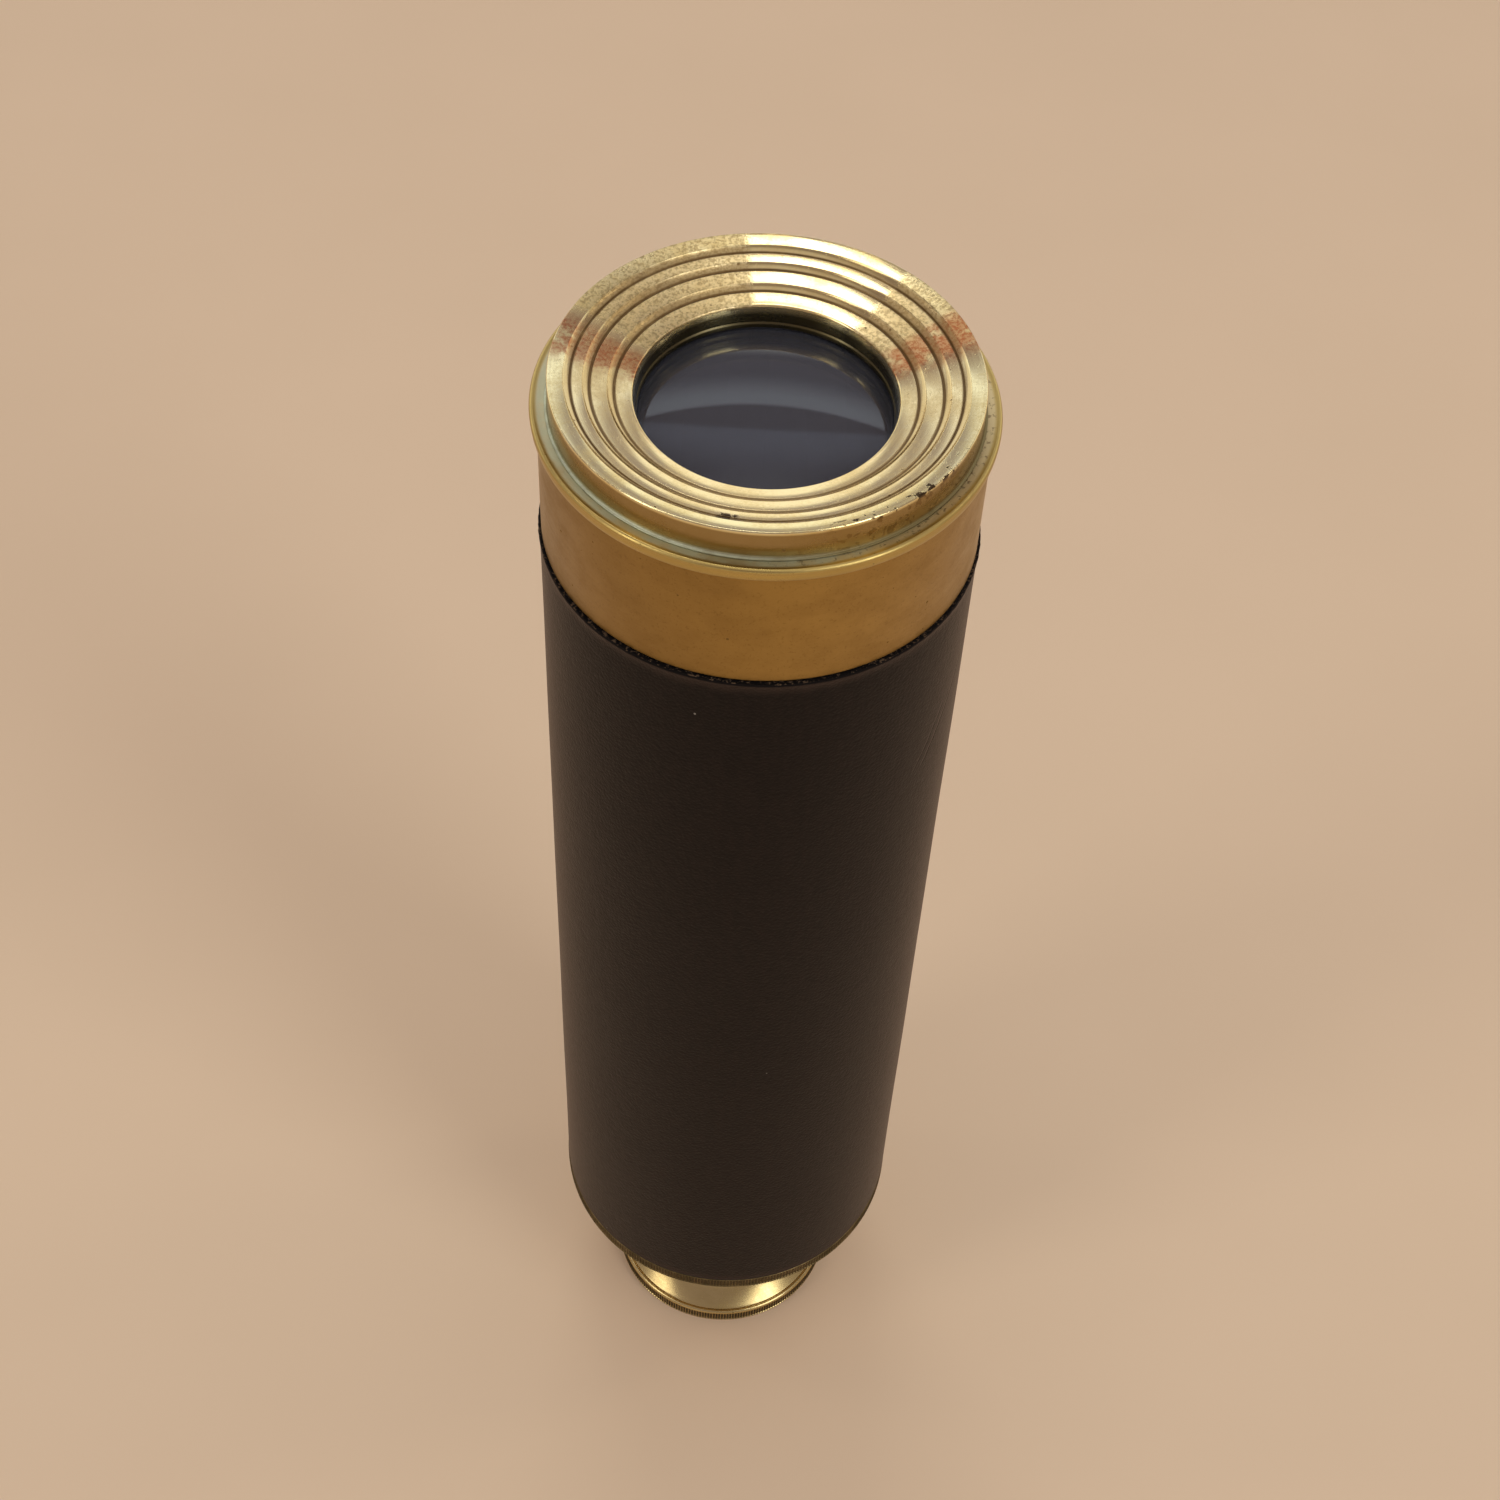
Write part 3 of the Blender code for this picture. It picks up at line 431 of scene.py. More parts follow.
def handled(finish, colour, rough, height):
    """A faintly clouded band, painted shade on one side of it, a brighter rubbed flange, and
    verdigris on its top at one side.
    """
    smear = finish.noise(finish.point(finish.x, finish.y, finish.z * 1.6), 0.22, 6.0, 0.6)
    band = finish.z.rise(FLANGE_BEAD_BOTTOM + 0.1, FLANGE_BEAD_BOTTOM - 0.1)
    brown = smear.rise(0.40, 0.72) * band
    colour = (band * 0.6).blend(colour, (0.38, 0.245, 0.08))
    # The band is painted darker on the side towards 205 degrees: painted shade.
    painted_shade = finish.towards(205).rise(0.1, 0.9) * band
    colour = (painted_shade * 0.4).blend(colour, (0.22, 0.13, 0.035))
    colour = (brown * 0.28).blend(colour, (0.24, 0.13, 0.03))
    freckles = finish.noise(finish.place, 3.0, 3.0, 0.7).rise(0.56, 0.66) * band
    colour = (freckles * 0.36).blend(colour, (0.20, 0.11, 0.03))
    rubbed = finish.z.rise(FLANGE_BEAD_BOTTOM, FLANGE_BEAD_BOTTOM + 0.3)
    colour = (rubbed * 0.5).blend(colour, (0.60, 0.50, 0.20))
    corner = finish.radius.rise(FLANGE_RADIUS - 0.5, FLANGE_RADIUS - 0.9)
    corner = corner * finish.z.rise(FLANGE_TOP - 0.5, FLANGE_TOP - 0.2)
    patch = finish.noise(finish.place, 0.35, 4.0, 0.6).rise(0.36, 0.58)
    colour = (corner * 0.7).blend(colour, (0.66, 0.56, 0.34))
    green = corner * (patch * 0.6 + 0.4) * finish.towards(225).rise(-0.2, 0.6)
    colour = (green * 0.75).blend(colour, VERDIGRIS)
    soil = corner * finish.noise(finish.place, 1.6, 4.0, 0.7).rise(0.54, 0.64)
    soil = soil * finish.towards(340).rise(0.2, 0.8)
    colour = (soil * 0.7).blend(colour, (0.13, 0.075, 0.03))
    rough = rough + brown * 0.06 + corner * 0.10 + green * 0.2 - rubbed * 0.06
    return colour, rough, height + smear * 0.4 - soil


head = turned(
    "head_collar_turned",
    head_outline,
    brass("handled_brass", (0.47, 0.285, 0.062), (0.40, 0.235, 0.050), 0.27, 0.25, extra=handled),
)
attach(head, "barrel")
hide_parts("head_collar")


# --- Objective bezel -------------------------------------------------------------------------
# A heavy brass ring, turned to a dish of four sloped lands, with a step and a fine groove between
# each two. It screws into the head collar, and its inner shoulder holds the lens. The lands are
# polished bright, with dark pits, coppery patches at both sides and chatter marks from the tool.

bezel_low, bezel_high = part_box("objective_bezel")
BEZEL_RADIUS, BEZEL_TOP = bezel_high.x / MM, bezel_high.z / MM
BEZEL_SIDE_BOTTOM = FLANGE_TOP - 0.13
OPENING_RADIUS, OPENING_TAPER = 12.8, 0.4
DISH_DEPTH, OPENING_WALL = 2.54, 2.45
LIP_HEIGHT = BEZEL_TOP - DISH_DEPTH
LENS_SHOULDER = LIP_HEIGHT - OPENING_WALL
LENS_BORE = 14.45
CLEARANCE = 0.25
BEZEL_SPIGOT_RADIUS = HEAD_BORE - CLEARANCE

# Outer and inner radius of each land
LANDS = [(20.90, 19.46), (18.70, 17.62), (16.76, 15.28), (14.42, 13.14)]
LAND_SLOPE = math.tan(math.radians(12))
STEP_DROP, STEP_WIDTH = 0.44, 0.58
GROOVE_WIDTH, GROOVE_DEPTH = 0.18, 0.10

bezel_face = []
level = BEZEL_TOP - 0.02
for outer, inner in LANDS:
    foot = level - (outer - inner) * LAND_SLOPE
    bezel_face += [(outer, level), (inner, foot)]
    level = foot - STEP_DROP
    if inner > LANDS[-1][1]:
        groove = inner - STEP_WIDTH
        bezel_face += swelled((inner - 0.03, foot - 0.05), (groove, level + 0.02), 0.03)
        bezel_face.append((groove - 0.05, level - GROOVE_DEPTH))
        bezel_face.append((groove - GROOVE_WIDTH + 0.05, level - GROOVE_DEPTH))
lip = (OPENING_RADIUS, LIP_HEIGHT - 0.14)
bezel_face += swelled((LANDS[-1][1] - 0.08, foot - 0.03), lip, -0.05)
GROOVE_LINES = [inner - STEP_WIDTH - 0.10 for _, inner in LANDS[:-1]]
bezel_outline = [
    *bezel_face,
    (OPENING_RADIUS - 0.30, LENS_SHOULDER + 0.75),
    (OPENING_RADIUS - 0.18, LENS_SHOULDER + 0.60),
    (OPENING_RADIUS - 0.34, LENS_SHOULDER + 0.40),
    (OPENING_RADIUS - OPENING_TAPER, LENS_SHOULDER),
    (LENS_BORE, LENS_SHOULDER),
    (LENS_BORE, bezel_low.z / MM),
    (BEZEL_SPIGOT_RADIUS, bezel_low.z / MM),
    (BEZEL_SPIGOT_RADIUS, BEZEL_SIDE_BOTTOM),
    (BEZEL_RADIUS + 0.30, BEZEL_SIDE_BOTTOM),
    (BEZEL_RADIUS + 0.30, BEZEL_SIDE_BOTTOM + 0.10),
    (BEZEL_RADIUS + 0.10, BEZEL_SIDE_BOTTOM + 0.18),
    (BEZEL_RADIUS + 0.02, BEZEL_SIDE_BOTTOM + 0.36),
    (BEZEL_RADIUS, BEZEL_SIDE_BOTTOM + 0.60),
    (BEZEL_RADIUS, BEZEL_TOP - 0.14),
]


def facing(finish, degrees, half_width, soft=4.0):
    """1 within that many degrees of the direction round the axis, and 0 a little farther off."""
    low, high = (math.cos(math.radians(half_width + side * soft / 2)) for side in (1, -1))
    return finish.towards(degrees).rise(low, high)


OUTER_LAND_INNER = LANDS[0][1]
DARK_VERDIGRIS = (0.56, 0.60, 0.44)


def dished(finish, colour, rough, height):
    """Coppery patches, etched arcs, chatter marks, chips, dark patina and verdigris at the foot of
    its side, and painted shade on its steps, its side and the wall inside its opening.
    """
    face = finish.z.rise(BEZEL_TOP - 2.9, BEZEL_TOP - 2.7)
    inner = finish.radius.rise(OUTER_LAND_INNER + 0.04, OUTER_LAND_INNER - 0.46) * face
    colour = (inner * 0.3).blend(colour, (0.84, 0.62, 0.33))
    patch = finish.noise(finish.place, 0.42, 5.0, 0.65)
    speckle = finish.noise(finish.place, 2.6, 3.0, 0.75).rise(0.44, 0.60)
    etched = (facing(finish, 127, 29) + facing(finish, 34, 16)) * face
    colour = (etched * (speckle * 0.5 + 0.25)).blend(colour, (0.30, 0.21, 0.085))
    copper = (facing(finish, 22, 7, 8) + facing(finish, 168, 7, 8)) * face * patch.rise(0.32, 0.47)
    colour = (copper * (speckle * 0.3 + 0.6)).blend(colour, (0.42, 0.135, 0.05))
    dirt, steps = face * 0, face * 0
    for line in GROOVE_LINES:
        dirt = dirt + abs(finish.radius - line).rise(0.26, 0.08) * face
        steps = steps + abs(finish.radius - line - 0.28).rise(0.38, 0.26) * face
    # The step facets are painted darker: painted shade.
    colour = (steps * 0.5).blend(colour, (0.34, 0.22, 0.085))
    colour = (dirt * 0.8).blend(colour, (0.13, 0.07, 0.025))
    smear = finish.noise(finish.place, 0.3, 5.0, 0.7).rise(0.52, 0.74) * face
    colour = (smear * 0.25).blend(colour, (0.62, 0.45, 0.19))
    outer = finish.radius.rise(OUTER_LAND_INNER + 0.04, OUTER_LAND_INNER + 0.24) * face
    angle = finish.y.maths("ARCTAN2", finish.x)
    rays = finish.point(angle * 70, finish.radius * 0.25, 0)
    chatter = finish.noise(rays, 1.0, 2.0).rise(0.50, 0.62) * outer * facing(finish, 33, 14)
    slanted = finish.point(finish.x * 3.2, finish.y * 0.7, finish.z)
    scratch = finish.noise(slanted, 1.6, 2.0).rise(0.64, 0.70)
    rim = finish.radius.rise(20.1, 20.3) * facing(finish, 312, 22, 10)
    chips = finish.noise(finish.place, 0.9, 3.0, 0.6).rise(0.55, 0.60) * rim
    gouge = abs(finish.radius - LANDS[1][0]).rise(0.55, 0.35) * facing(finish, 261, 2.6, 1.6)
    gouge = gouge * finish.noise(finish.place, 1.8, 3.0, 0.6).rise(0.42, 0.50)
    colour = (chips + gouge).blend(colour, (0.10, 0.065, 0.03))
    skirt = finish.radius.rise(20.0, 20.5)
    # The outer side is painted dark brown all round: painted shade.
    side = finish.z.rise(BEZEL_TOP - 0.2, BEZEL_TOP - 0.5) * skirt
    colour = (side * 0.85).blend(colour, (0.27, 0.165, 0.052))
    foot = finish.z.rise(BEZEL_SIDE_BOTTOM + 0.6, BEZEL_SIDE_BOTTOM + 0.15) * skirt
    colour = (foot * 0.7).blend(colour, (0.15, 0.14, 0.07))
    green = foot * finish.towards(205).rise(0.0, 0.8) * (patch.rise(0.3, 0.6) * 0.5 + 0.4)
    colour = green.blend(colour, DARK_VERDIGRIS)
    # The wall inside the opening is painted almost black: painted shade.
    inside = finish.radius.rise(OPENING_RADIUS + 0.1, OPENING_RADIUS - 0.05)
    painted_wall_shade = inside * finish.z.rise(LIP_HEIGHT - 0.3, LIP_HEIGHT - 1.0)
    colour = (painted_wall_shade * 0.9).blend(colour, (0.035, 0.029, 0.014))
    rough = rough + copper * 0.06 + smear * 0.05 + etched * 0.16 + side * 0.08 + foot * 0.2
    height = height - chatter * 0.7 - scratch * 0.3 - etched * speckle * 0.5 - chips - gouge
    return colour, rough + dirt * 0.25 + painted_wall_shade * 0.12, height


bezel = turned(
    "objective_bezel_turned",
    bezel_outline,
    brass("polished_brass", (0.86, 0.75, 0.42), (0.74, 0.58, 0.26), 0.06, 0.25, extra=dished),
    rounding=0.05,
)
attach(bezel, "barrel")
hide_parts("objective_bezel")


# --- Objective lens, its gasket and its ring --------------------------------------------------
# A thick lens, domed in front and flat behind, with a fine ground edge. Its front bears on the
# bezel's shoulder, a blackened cork gasket is behind it, and a slotted ring screws up to that.

objective_low, objective_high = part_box("objective_lens")
LENS_RADIUS = objective_high.x / MM
LENS_CURVE = 57.0
LENS_STEPS = 20
LENS_CHAMFER = 0.12


def lens_outline(curve, radius, front, back):
    """From the middle of the domed front out to the chamfered edge, and in along the flat back."""
    points = []
    for step in range(LENS_STEPS + 1):
        r = (radius - LENS_CHAMFER) * step / LENS_STEPS
        points.append((r, front - curve + math.sqrt(curve**2 - r**2)))
    points += [(radius, points[-1][1] - LENS_CHAMFER), (radius, back + LENS_CHAMFER)]
    return points + [(radius - LENS_CHAMFER, back), (0, back)]


def glass(name, tint, film):
    """Polished glass under a faint film of dust, with a few larger specks."""
    finish = Finish(name)
    dust = finish.specks(0.8, 0.04, 0.05)
    finish.wire(Base_Color=(*tint, 1), Transmission_Weight=1 - film, IOR=1.5, Metallic=0.0)
    return finish.wire(Roughness=dust * 0.4)


objective = turned(
    "objective_lens_ground",
    lens_outline(LENS_CURVE, LENS_RADIUS, objective_high.z / MM, objective_low.z / MM),
    glass("lens_glass", (0.40, 0.42, 0.50), 0.09),
    closed=False,
)
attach(objective, "barrel")
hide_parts("objective_lens")


def blackened(name):
    """Chemically blackened brass, rubbed back to metal on a few high spots."""
    finish = Finish(name)
    cloud = finish.noise(finish.place, 0.8, 4.0)
    fine = finish.noise(finish.point(finish.radius, finish.z, 0), 5.0, 2.0)
    colour = cloud.blend((0.010, 0.010, 0.011), (0.030, 0.028, 0.026))
    colour = (cloud * 0.5 + fine * 0.5).rise(0.66, 0.72).blend(colour, (0.20, 0.14, 0.06))
    normal = finish.bump(fine, 0.02)
    return finish.wire(Base_Color=colour, Roughness=cloud * 0.2 + 0.45, Metallic=0.5, Normal=normal)


CRUMBS_PER_MM = 1.4


def cork(name, pale=(0.56, 0.36, 0.20), dark=(0.36, 0.20, 0.10), join=(0.10, 0.055, 0.03)):
    """Agglomerated cork: pale and dark crumbs pressed together, open at the joins."""
    finish = Finish(name)
    tint = finish.cells(finish.place, CRUMBS_PER_MM, 1)
    tone = finish.place.node("ShaderNodeSeparateColor", {}, {0: tint})
    gap = finish.cells(finish.place, CRUMBS_PER_MM, 0, "DISTANCE_TO_EDGE").rise(0.0, 0.09)
    colour = gap.blend(join, tone.blend(dark, pale))
    height = gap + finish.noise(finish.place, 4.0, 3.0) * 0.5
    return finish.wire(Base_Color=colour, Roughness=0.9, Normal=finish.bump(height, 0.1))


BLACKENED = blackened("blackened_brass")
CORK = cork("pressed_cork")
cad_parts["lens_gasket"].data.materials[0] = cork(
    "blackened_cork",
    pale=(0.016, 0.012, 0.010),
    dark=(0.009, 0.007, 0.006),
    join=(0.004, 0.003, 0.003),
)
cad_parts["objective_retaining_ring"].data.materials[0] = BLACKENED


# --- Tail collar -----------------------------------------------------------------------------
# Turned brass, screwed into the barrel's lower end. Its rim under the leather is milled for grip,
# and a cove runs in below it to a bead that closes round the draw tube.

tail_low, tail_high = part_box("tail_collar")
TAIL_RADIUS, TAIL_BOTTOM = tail_high.x / MM, tail_low.z / MM
TAIL_BEAD_HEIGHT, TAIL_COVE_HEIGHT, TAIL_COVE_WIDTH = 1.8, 4.2, 2.6
TAIL_RIM_BOTTOM = TAIL_BOTTOM + TAIL_BEAD_HEIGHT + TAIL_COVE_HEIGHT
TAIL_RIM_TOP = LEATHER_BOTTOM - 0.12
TAIL_COVE_RADIUS = TAIL_RADIUS - TAIL_COVE_WIDTH
GUIDE_BORE, GUIDE_LEDGE = 16.8, 1.5
SLEEVE_BORE = 17.85
MILLING_DEPTH = 0.16


def cove(start, end, steps=14):
    """A quarter of an ellipse from start to end, which sets off upwards and ends level."""
    (r0, z0), (r1, z1) = start, end
    made = []
    for step in range(steps + 1):
        angle = math.pi / 2 * step / steps
        made.append((r0 + (r1 - r0) * (1 - math.cos(angle)), z0 + (z1 - z0) * math.sin(angle)))
    return made


def ribs_round(name, count, radius, low, high, material):
    """Fine upright ribs side by side round a rim. Each is a four-sided bar with one edge out."""
    tree = bpy.data.node_groups.new(name, "GeometryNodeTree")
    tree.is_modifier = True
    sizes = {"Count": ("NodeSocketInt", count), "Radius": ("NodeSocketFloat", radius * MM)}
    sizes["Width"] = ("NodeSocketFloat", math.tau * radius * MM / count)
    sizes["Low"] = ("NodeSocketFloat", low * MM)
    sizes["High"] = ("NodeSocketFloat", high * MM)
    sockets = {
        label: tree.interface.new_socket(label, in_out="INPUT", socket_type=kind)
        for label, (kind, _) in sizes.items()
    }
    tree.interface.new_socket("Mesh", in_out="OUTPUT", socket_type="NodeSocketGeometry")
    inputs, output = tree.nodes.new("NodeGroupInput"), tree.nodes.new("NodeGroupOutput")

    def node(kind, settings, values):
        made = tree.nodes.new(kind)
        for label, setting in settings.items():
            setattr(made, label, setting)
        for label, value in values.items():
            if isinstance(value, bpy.types.NodeSocket):
                tree.links.new(value, made.inputs[label])
            else:
                made.inputs[label].default_value = value
        return made.outputs

    def size(label):
        return inputs.outputs[label]

    def maths(operation, *values):
        return node("ShaderNodeMath", {"operation": operation}, dict(enumerate(values)))[0]

    tall = maths("SUBTRACT", size("High"), size("Low"))
    middle = maths("MULTIPLY_ADD", tall, 0.5, size("Low"))
    half = maths("MULTIPLY", size("Width"), 0.5)
    inner = maths("SUBTRACT", size("Radius"), half)
    ring = {"Vertices": size("Count"), "Radius": inner}
    circle = node("GeometryNodeMeshCircle", {}, ring)["Mesh"]
    square = {"Vertices": 4, "Radius": half, "Depth": tall}
    bar = node("GeometryNodeMeshCylinder", {}, square)["Mesh"]
    out = node("GeometryNodeInputPosition", {}, {})[0]
    upright = {"axis": "X", "pivot_axis": "Z"}
    turn = node("FunctionNodeAlignRotationToVector", upright, {"Vector": out})[0]
    copies = {"Points": circle, "Instance": bar, "Rotation": turn}
    placed = node("GeometryNodeInstanceOnPoints", {}, copies)[0]
    lift = node("ShaderNodeCombineXYZ", {}, {2: middle})[0]
    raised = node("GeometryNodeTransform", {}, {"Geometry": placed, "Translation": lift})[0]
    real = node("GeometryNodeRealizeInstances", {}, {"Geometry": raised})[0]
    painted = node("GeometryNodeSetMaterial", {}, {"Geometry": real, "Material": material})[0]
    tree.links.new(painted, output.inputs[0])

    holder = bpy.data.objects.new(name, bpy.data.meshes.new(name))
    bpy.context.scene.collection.objects.link(holder)
    modifier = holder.modifiers.new(name, "NODES")
    modifier.node_group = tree
    for label, (_, value) in sizes.items():
        modifier[sockets[label].identifier] = value
    evaluated = holder.evaluated_get(bpy.context.evaluated_depsgraph_get())
    made = bpy.data.meshes.new_from_object(evaluated)
    holder.modifiers.remove(modifier)
    holder.data = made
    made.shade_flat()
    return holder


def greened(finish, colour, rough, height):
    """Dull green-brown grime, where the milling holds it."""
    grime = finish.noise(finish.place, 0.7, 4.0).rise(0.30, 0.62)
    return (grime * 0.5).blend(colour, (0.08, 0.065, 0.03)), rough + grime * 0.15, height


MILLED_BRASS = brass(
    "milled_brass", (0.15, 0.11, 0.05), (0.09, 0.065, 0.03), 0.32, 0.3, extra=greened
)
TURNED_BRASS = brass("turned_brass", (0.74, 0.53, 0.20), (0.52, 0.35, 0.11), 0.20, 0.4)

tail_outline = [
    (GUIDE_BORE, TAIL_BOTTOM),
    (TAIL_COVE_RADIUS - 0.9, TAIL_BOTTOM),
    *swelled(
        (TAIL_COVE_RADIUS - 0.55, TAIL_BOTTOM + 0.10),
        (TAIL_COVE_RADIUS - 0.45, TAIL_BOTTOM + TAIL_BEAD_HEIGHT - 0.18),
        -0.42,
        steps=8,
    ),
    (TAIL_COVE_RADIUS - 0.62, TAIL_BOTTOM + TAIL_BEAD_HEIGHT),
    *cove(
        (TAIL_COVE_RADIUS - 0.45, TAIL_BOTTOM + TAIL_BEAD_HEIGHT + 0.15),
        (TAIL_RADIUS - 0.28, TAIL_RIM_BOTTOM - 0.05),
    ),
    (TAIL_RADIUS - 0.02, TAIL_RIM_BOTTOM + 0.10),
    (TAIL_RADIUS - 0.02, TAIL_RIM_BOTTOM + 0.22),
    (TAIL_RADIUS - MILLING_DEPTH, TAIL_RIM_BOTTOM + 0.34),
    (TAIL_RADIUS - MILLING_DEPTH, TAIL_RIM_TOP - 0.20),
    (TAIL_RADIUS - 0.06, TAIL_RIM_TOP - 0.12),
    (TAIL_RADIUS - 0.10, TAIL_RIM_TOP),
    (BARREL_BORE - CLEARANCE, TAIL_RIM_TOP),
    (BARREL_BORE - CLEARANCE, tail_high.z / MM),
    (SLEEVE_BORE, tail_high.z / MM),
    (SLEEVE_BORE, TAIL_BOTTOM + GUIDE_LEDGE),
    (GUIDE_BORE, TAIL_BOTTOM + GUIDE_LEDGE),
]
DULL_BRASS = brass("dull_brass", (0.27, 0.20, 0.09), (0.17, 0.125, 0.055), 0.30, 0.3, extra=greened)
tail = turned("tail_collar_turned", tail_outline, DULL_BRASS)
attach(tail, "barrel")
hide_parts("tail_collar")

TAIL_RIBS = 320
TAIL_RIBS_BOTTOM, TAIL_RIBS_TOP = TAIL_RIM_BOTTOM + 0.26, TAIL_RIM_TOP - 0.14
tail_ribs = ribs_round(
    "tail_milling", TAIL_RIBS, TAIL_RADIUS, TAIL_RIBS_BOTTOM, TAIL_RIBS_TOP, MILLED_BRASS
)
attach(tail_ribs, "barrel")


# --- Guide sleeve ----------------------------------------------------------------------------
# A thin hard brass sleeve in the tail collar, slit from its upper end so that it springs lightly
# on to the draw tube. It is polished where the draw rubs it.

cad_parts["guide_sleeve"].data.materials[0] = brass(
    "sleeve_brass", (0.70, 0.50, 0.19), (0.50, 0.34, 0.12), 0.22
)


# --- Friction ring ---------------------------------------------------------------------------
# A split ring of spring brass in the stop collar's groove. It presses outwards on the barrel's
# bore, so that the draw stays where it is put, and the draw turns inside it.

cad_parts["friction_ring"].data.materials[0] = brass(
    "spring_brass", (0.62, 0.42, 0.16), (0.45, 0.30, 0.11), 0.30
)


# --- Draw tube and stop collar -----------------------------------------------------------------
# A drawn brass tube, bright where it slides, with long fine scratches from its guide. The stop
# collar is soldered round its inner end.

draw_low, draw_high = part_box("draw_tube")
DRAW_RADIUS = draw_high.x / MM
DRAW_WALL = 0.8
DRAW_BORE = DRAW_RADIUS - DRAW_WALL


def drawn(finish, colour, rough, height):
    """Scratches along the tube, and a blackened bore."""
    along = finish.noise(finish.point(finish.x, finish.y, finish.z * 0.04), 7.0, 3.0)
    scratch = along.rise(0.60, 0.72)
    black = finish.radius.rise(DRAW_BORE + 0.25, DRAW_BORE + 0.1)
    colour = (scratch * 0.35).blend(colour, (0.86, 0.68, 0.36))
    rough = rough + scratch * 0.1 + black * 0.3
    return black.blend(colour, BORE_BLACK), rough, height - scratch


draw_outline = [
    (DRAW_BORE, draw_low.z / MM),
    (DRAW_RADIUS, draw_low.z / MM),
    (DRAW_RADIUS, draw_high.z / MM),
    (DRAW_BORE, draw_high.z / MM),
]
draw = turned(
    "draw_tube_drawn",
    draw_outline,
    brass("drawn_brass", (0.78, 0.57, 0.23), (0.60, 0.41, 0.14), 0.16, 0.2, extra=drawn),
)
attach(draw, "draw")
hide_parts("draw_tube")
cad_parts["stop_collar"].data.materials[0] = TURNED_BRASS


# --- Eye cap ---------------------------------------------------------------------------------
# Turned brass that closes the draw tube. A shoulder meets the tail collar when the draw is in, an
# ogee runs down to a bead, and the eye cup screws up into its bore.

cap_low, cap_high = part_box("eye_cap")
CAP_BOTTOM, CAP_SHOULDER_RADIUS = cap_low.z / MM, cap_high.x / MM
CAP_TOP = draw_low.z / MM - CLEARANCE
CAP_SHOULDER_HEIGHT = 2.4
CAP_SHOULDER_BOTTOM = CAP_TOP - CAP_SHOULDER_HEIGHT
CAP_BORE, CAP_BEAD_RADIUS, CAP_BEAD_HEIGHT = 9.8, 12.3, 1.9
CAP_SPIGOT_RADIUS, CAP_SPIGOT_WALL = DRAW_BORE - CLEARANCE, 1.8
CUP_SOCKET_DEPTH, CAP_WEB, CAP_WEB_WIDTH = 5.0, 1.7, 2.2
CAP_WEB_TOP = CAP_BOTTOM + CUP_SOCKET_DEPTH + CAP_WEB
CAP_GROOVE_RADIUS = CAP_SHOULDER_RADIUS - 0.22

cap_outline = [
    (CAP_BORE, CAP_BOTTOM),
    (CAP_BEAD_RADIUS - 0.75, CAP_BOTTOM),
    *swelled(
        (CAP_BEAD_RADIUS - 0.50, CAP_BOTTOM + 0.06),
        (CAP_BEAD_RADIUS - 0.50, CAP_BOTTOM + CAP_BEAD_HEIGHT - 0.18),
        -0.48,
        steps=8,
    ),
    (CAP_BEAD_RADIUS - 0.72, CAP_BOTTOM + CAP_BEAD_HEIGHT),
    *cove(
        (CAP_BEAD_RADIUS - 0.60, CAP_BOTTOM + CAP_BEAD_HEIGHT + 0.15),
        (CAP_SHOULDER_RADIUS - 0.30, CAP_SHOULDER_BOTTOM - 0.05),
    ),
    (CAP_SHOULDER_RADIUS - 0.04, CAP_SHOULDER_BOTTOM + 0.12),
    (CAP_SHOULDER_RADIUS, CAP_SHOULDER_BOTTOM + 0.30),
    (CAP_SHOULDER_RADIUS, CAP_SHOULDER_BOTTOM + 0.95),
    (CAP_GROOVE_RADIUS, CAP_SHOULDER_BOTTOM + 1.08),
    (CAP_GROOVE_RADIUS, CAP_SHOULDER_BOTTOM + 1.28),
    (CAP_SHOULDER_RADIUS, CAP_SHOULDER_BOTTOM + 1.40),
    (CAP_SHOULDER_RADIUS, CAP_TOP),
    (CAP_SPIGOT_RADIUS, CAP_TOP),
    (CAP_SPIGOT_RADIUS, cap_high.z / MM),
    (CAP_SPIGOT_RADIUS - CAP_SPIGOT_WALL, cap_high.z / MM),
    (CAP_SPIGOT_RADIUS - CAP_SPIGOT_WALL, CAP_WEB_TOP),
    (CAP_BORE - CAP_WEB_WIDTH, CAP_WEB_TOP),
    (CAP_BORE - CAP_WEB_WIDTH, CAP_WEB_TOP - CAP_WEB),
    (CAP_BORE, CAP_WEB_TOP - CAP_WEB),
]
cap = turned("eye_cap_turned", cap_outline, TURNED_BRASS)
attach(cap, "draw")
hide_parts("eye_cap")


# --- Eye cup ---------------------------------------------------------------------------------
# The flared brass foot, which is the eyepiece. A bright cove sweeps out from its neck to a fine
# groove, a bead and a milled rim. Underneath is a bowl for the eye with a small sight hole.

_, cup_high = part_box("eye_cup")
CUP_RADIUS = cup_high.x / MM
CUP_NECK_RADIUS, CUP_NECK_BOTTOM, CUP_SHOULDER = 10.6, 8.5, 9.0
CUP_SPIGOT_RADIUS, EYE_LENS_BORE = 9.55, 8.15
CUP_RIM_WIDTH = 1.4
BOWL_MOUTH, BOWL_DEPTH = CUP_RADIUS - CUP_RIM_WIDTH, 5.2
SIGHT_HOLE, EYE_SEAT = 3.6, 6.1
CUP_RIBS = 236

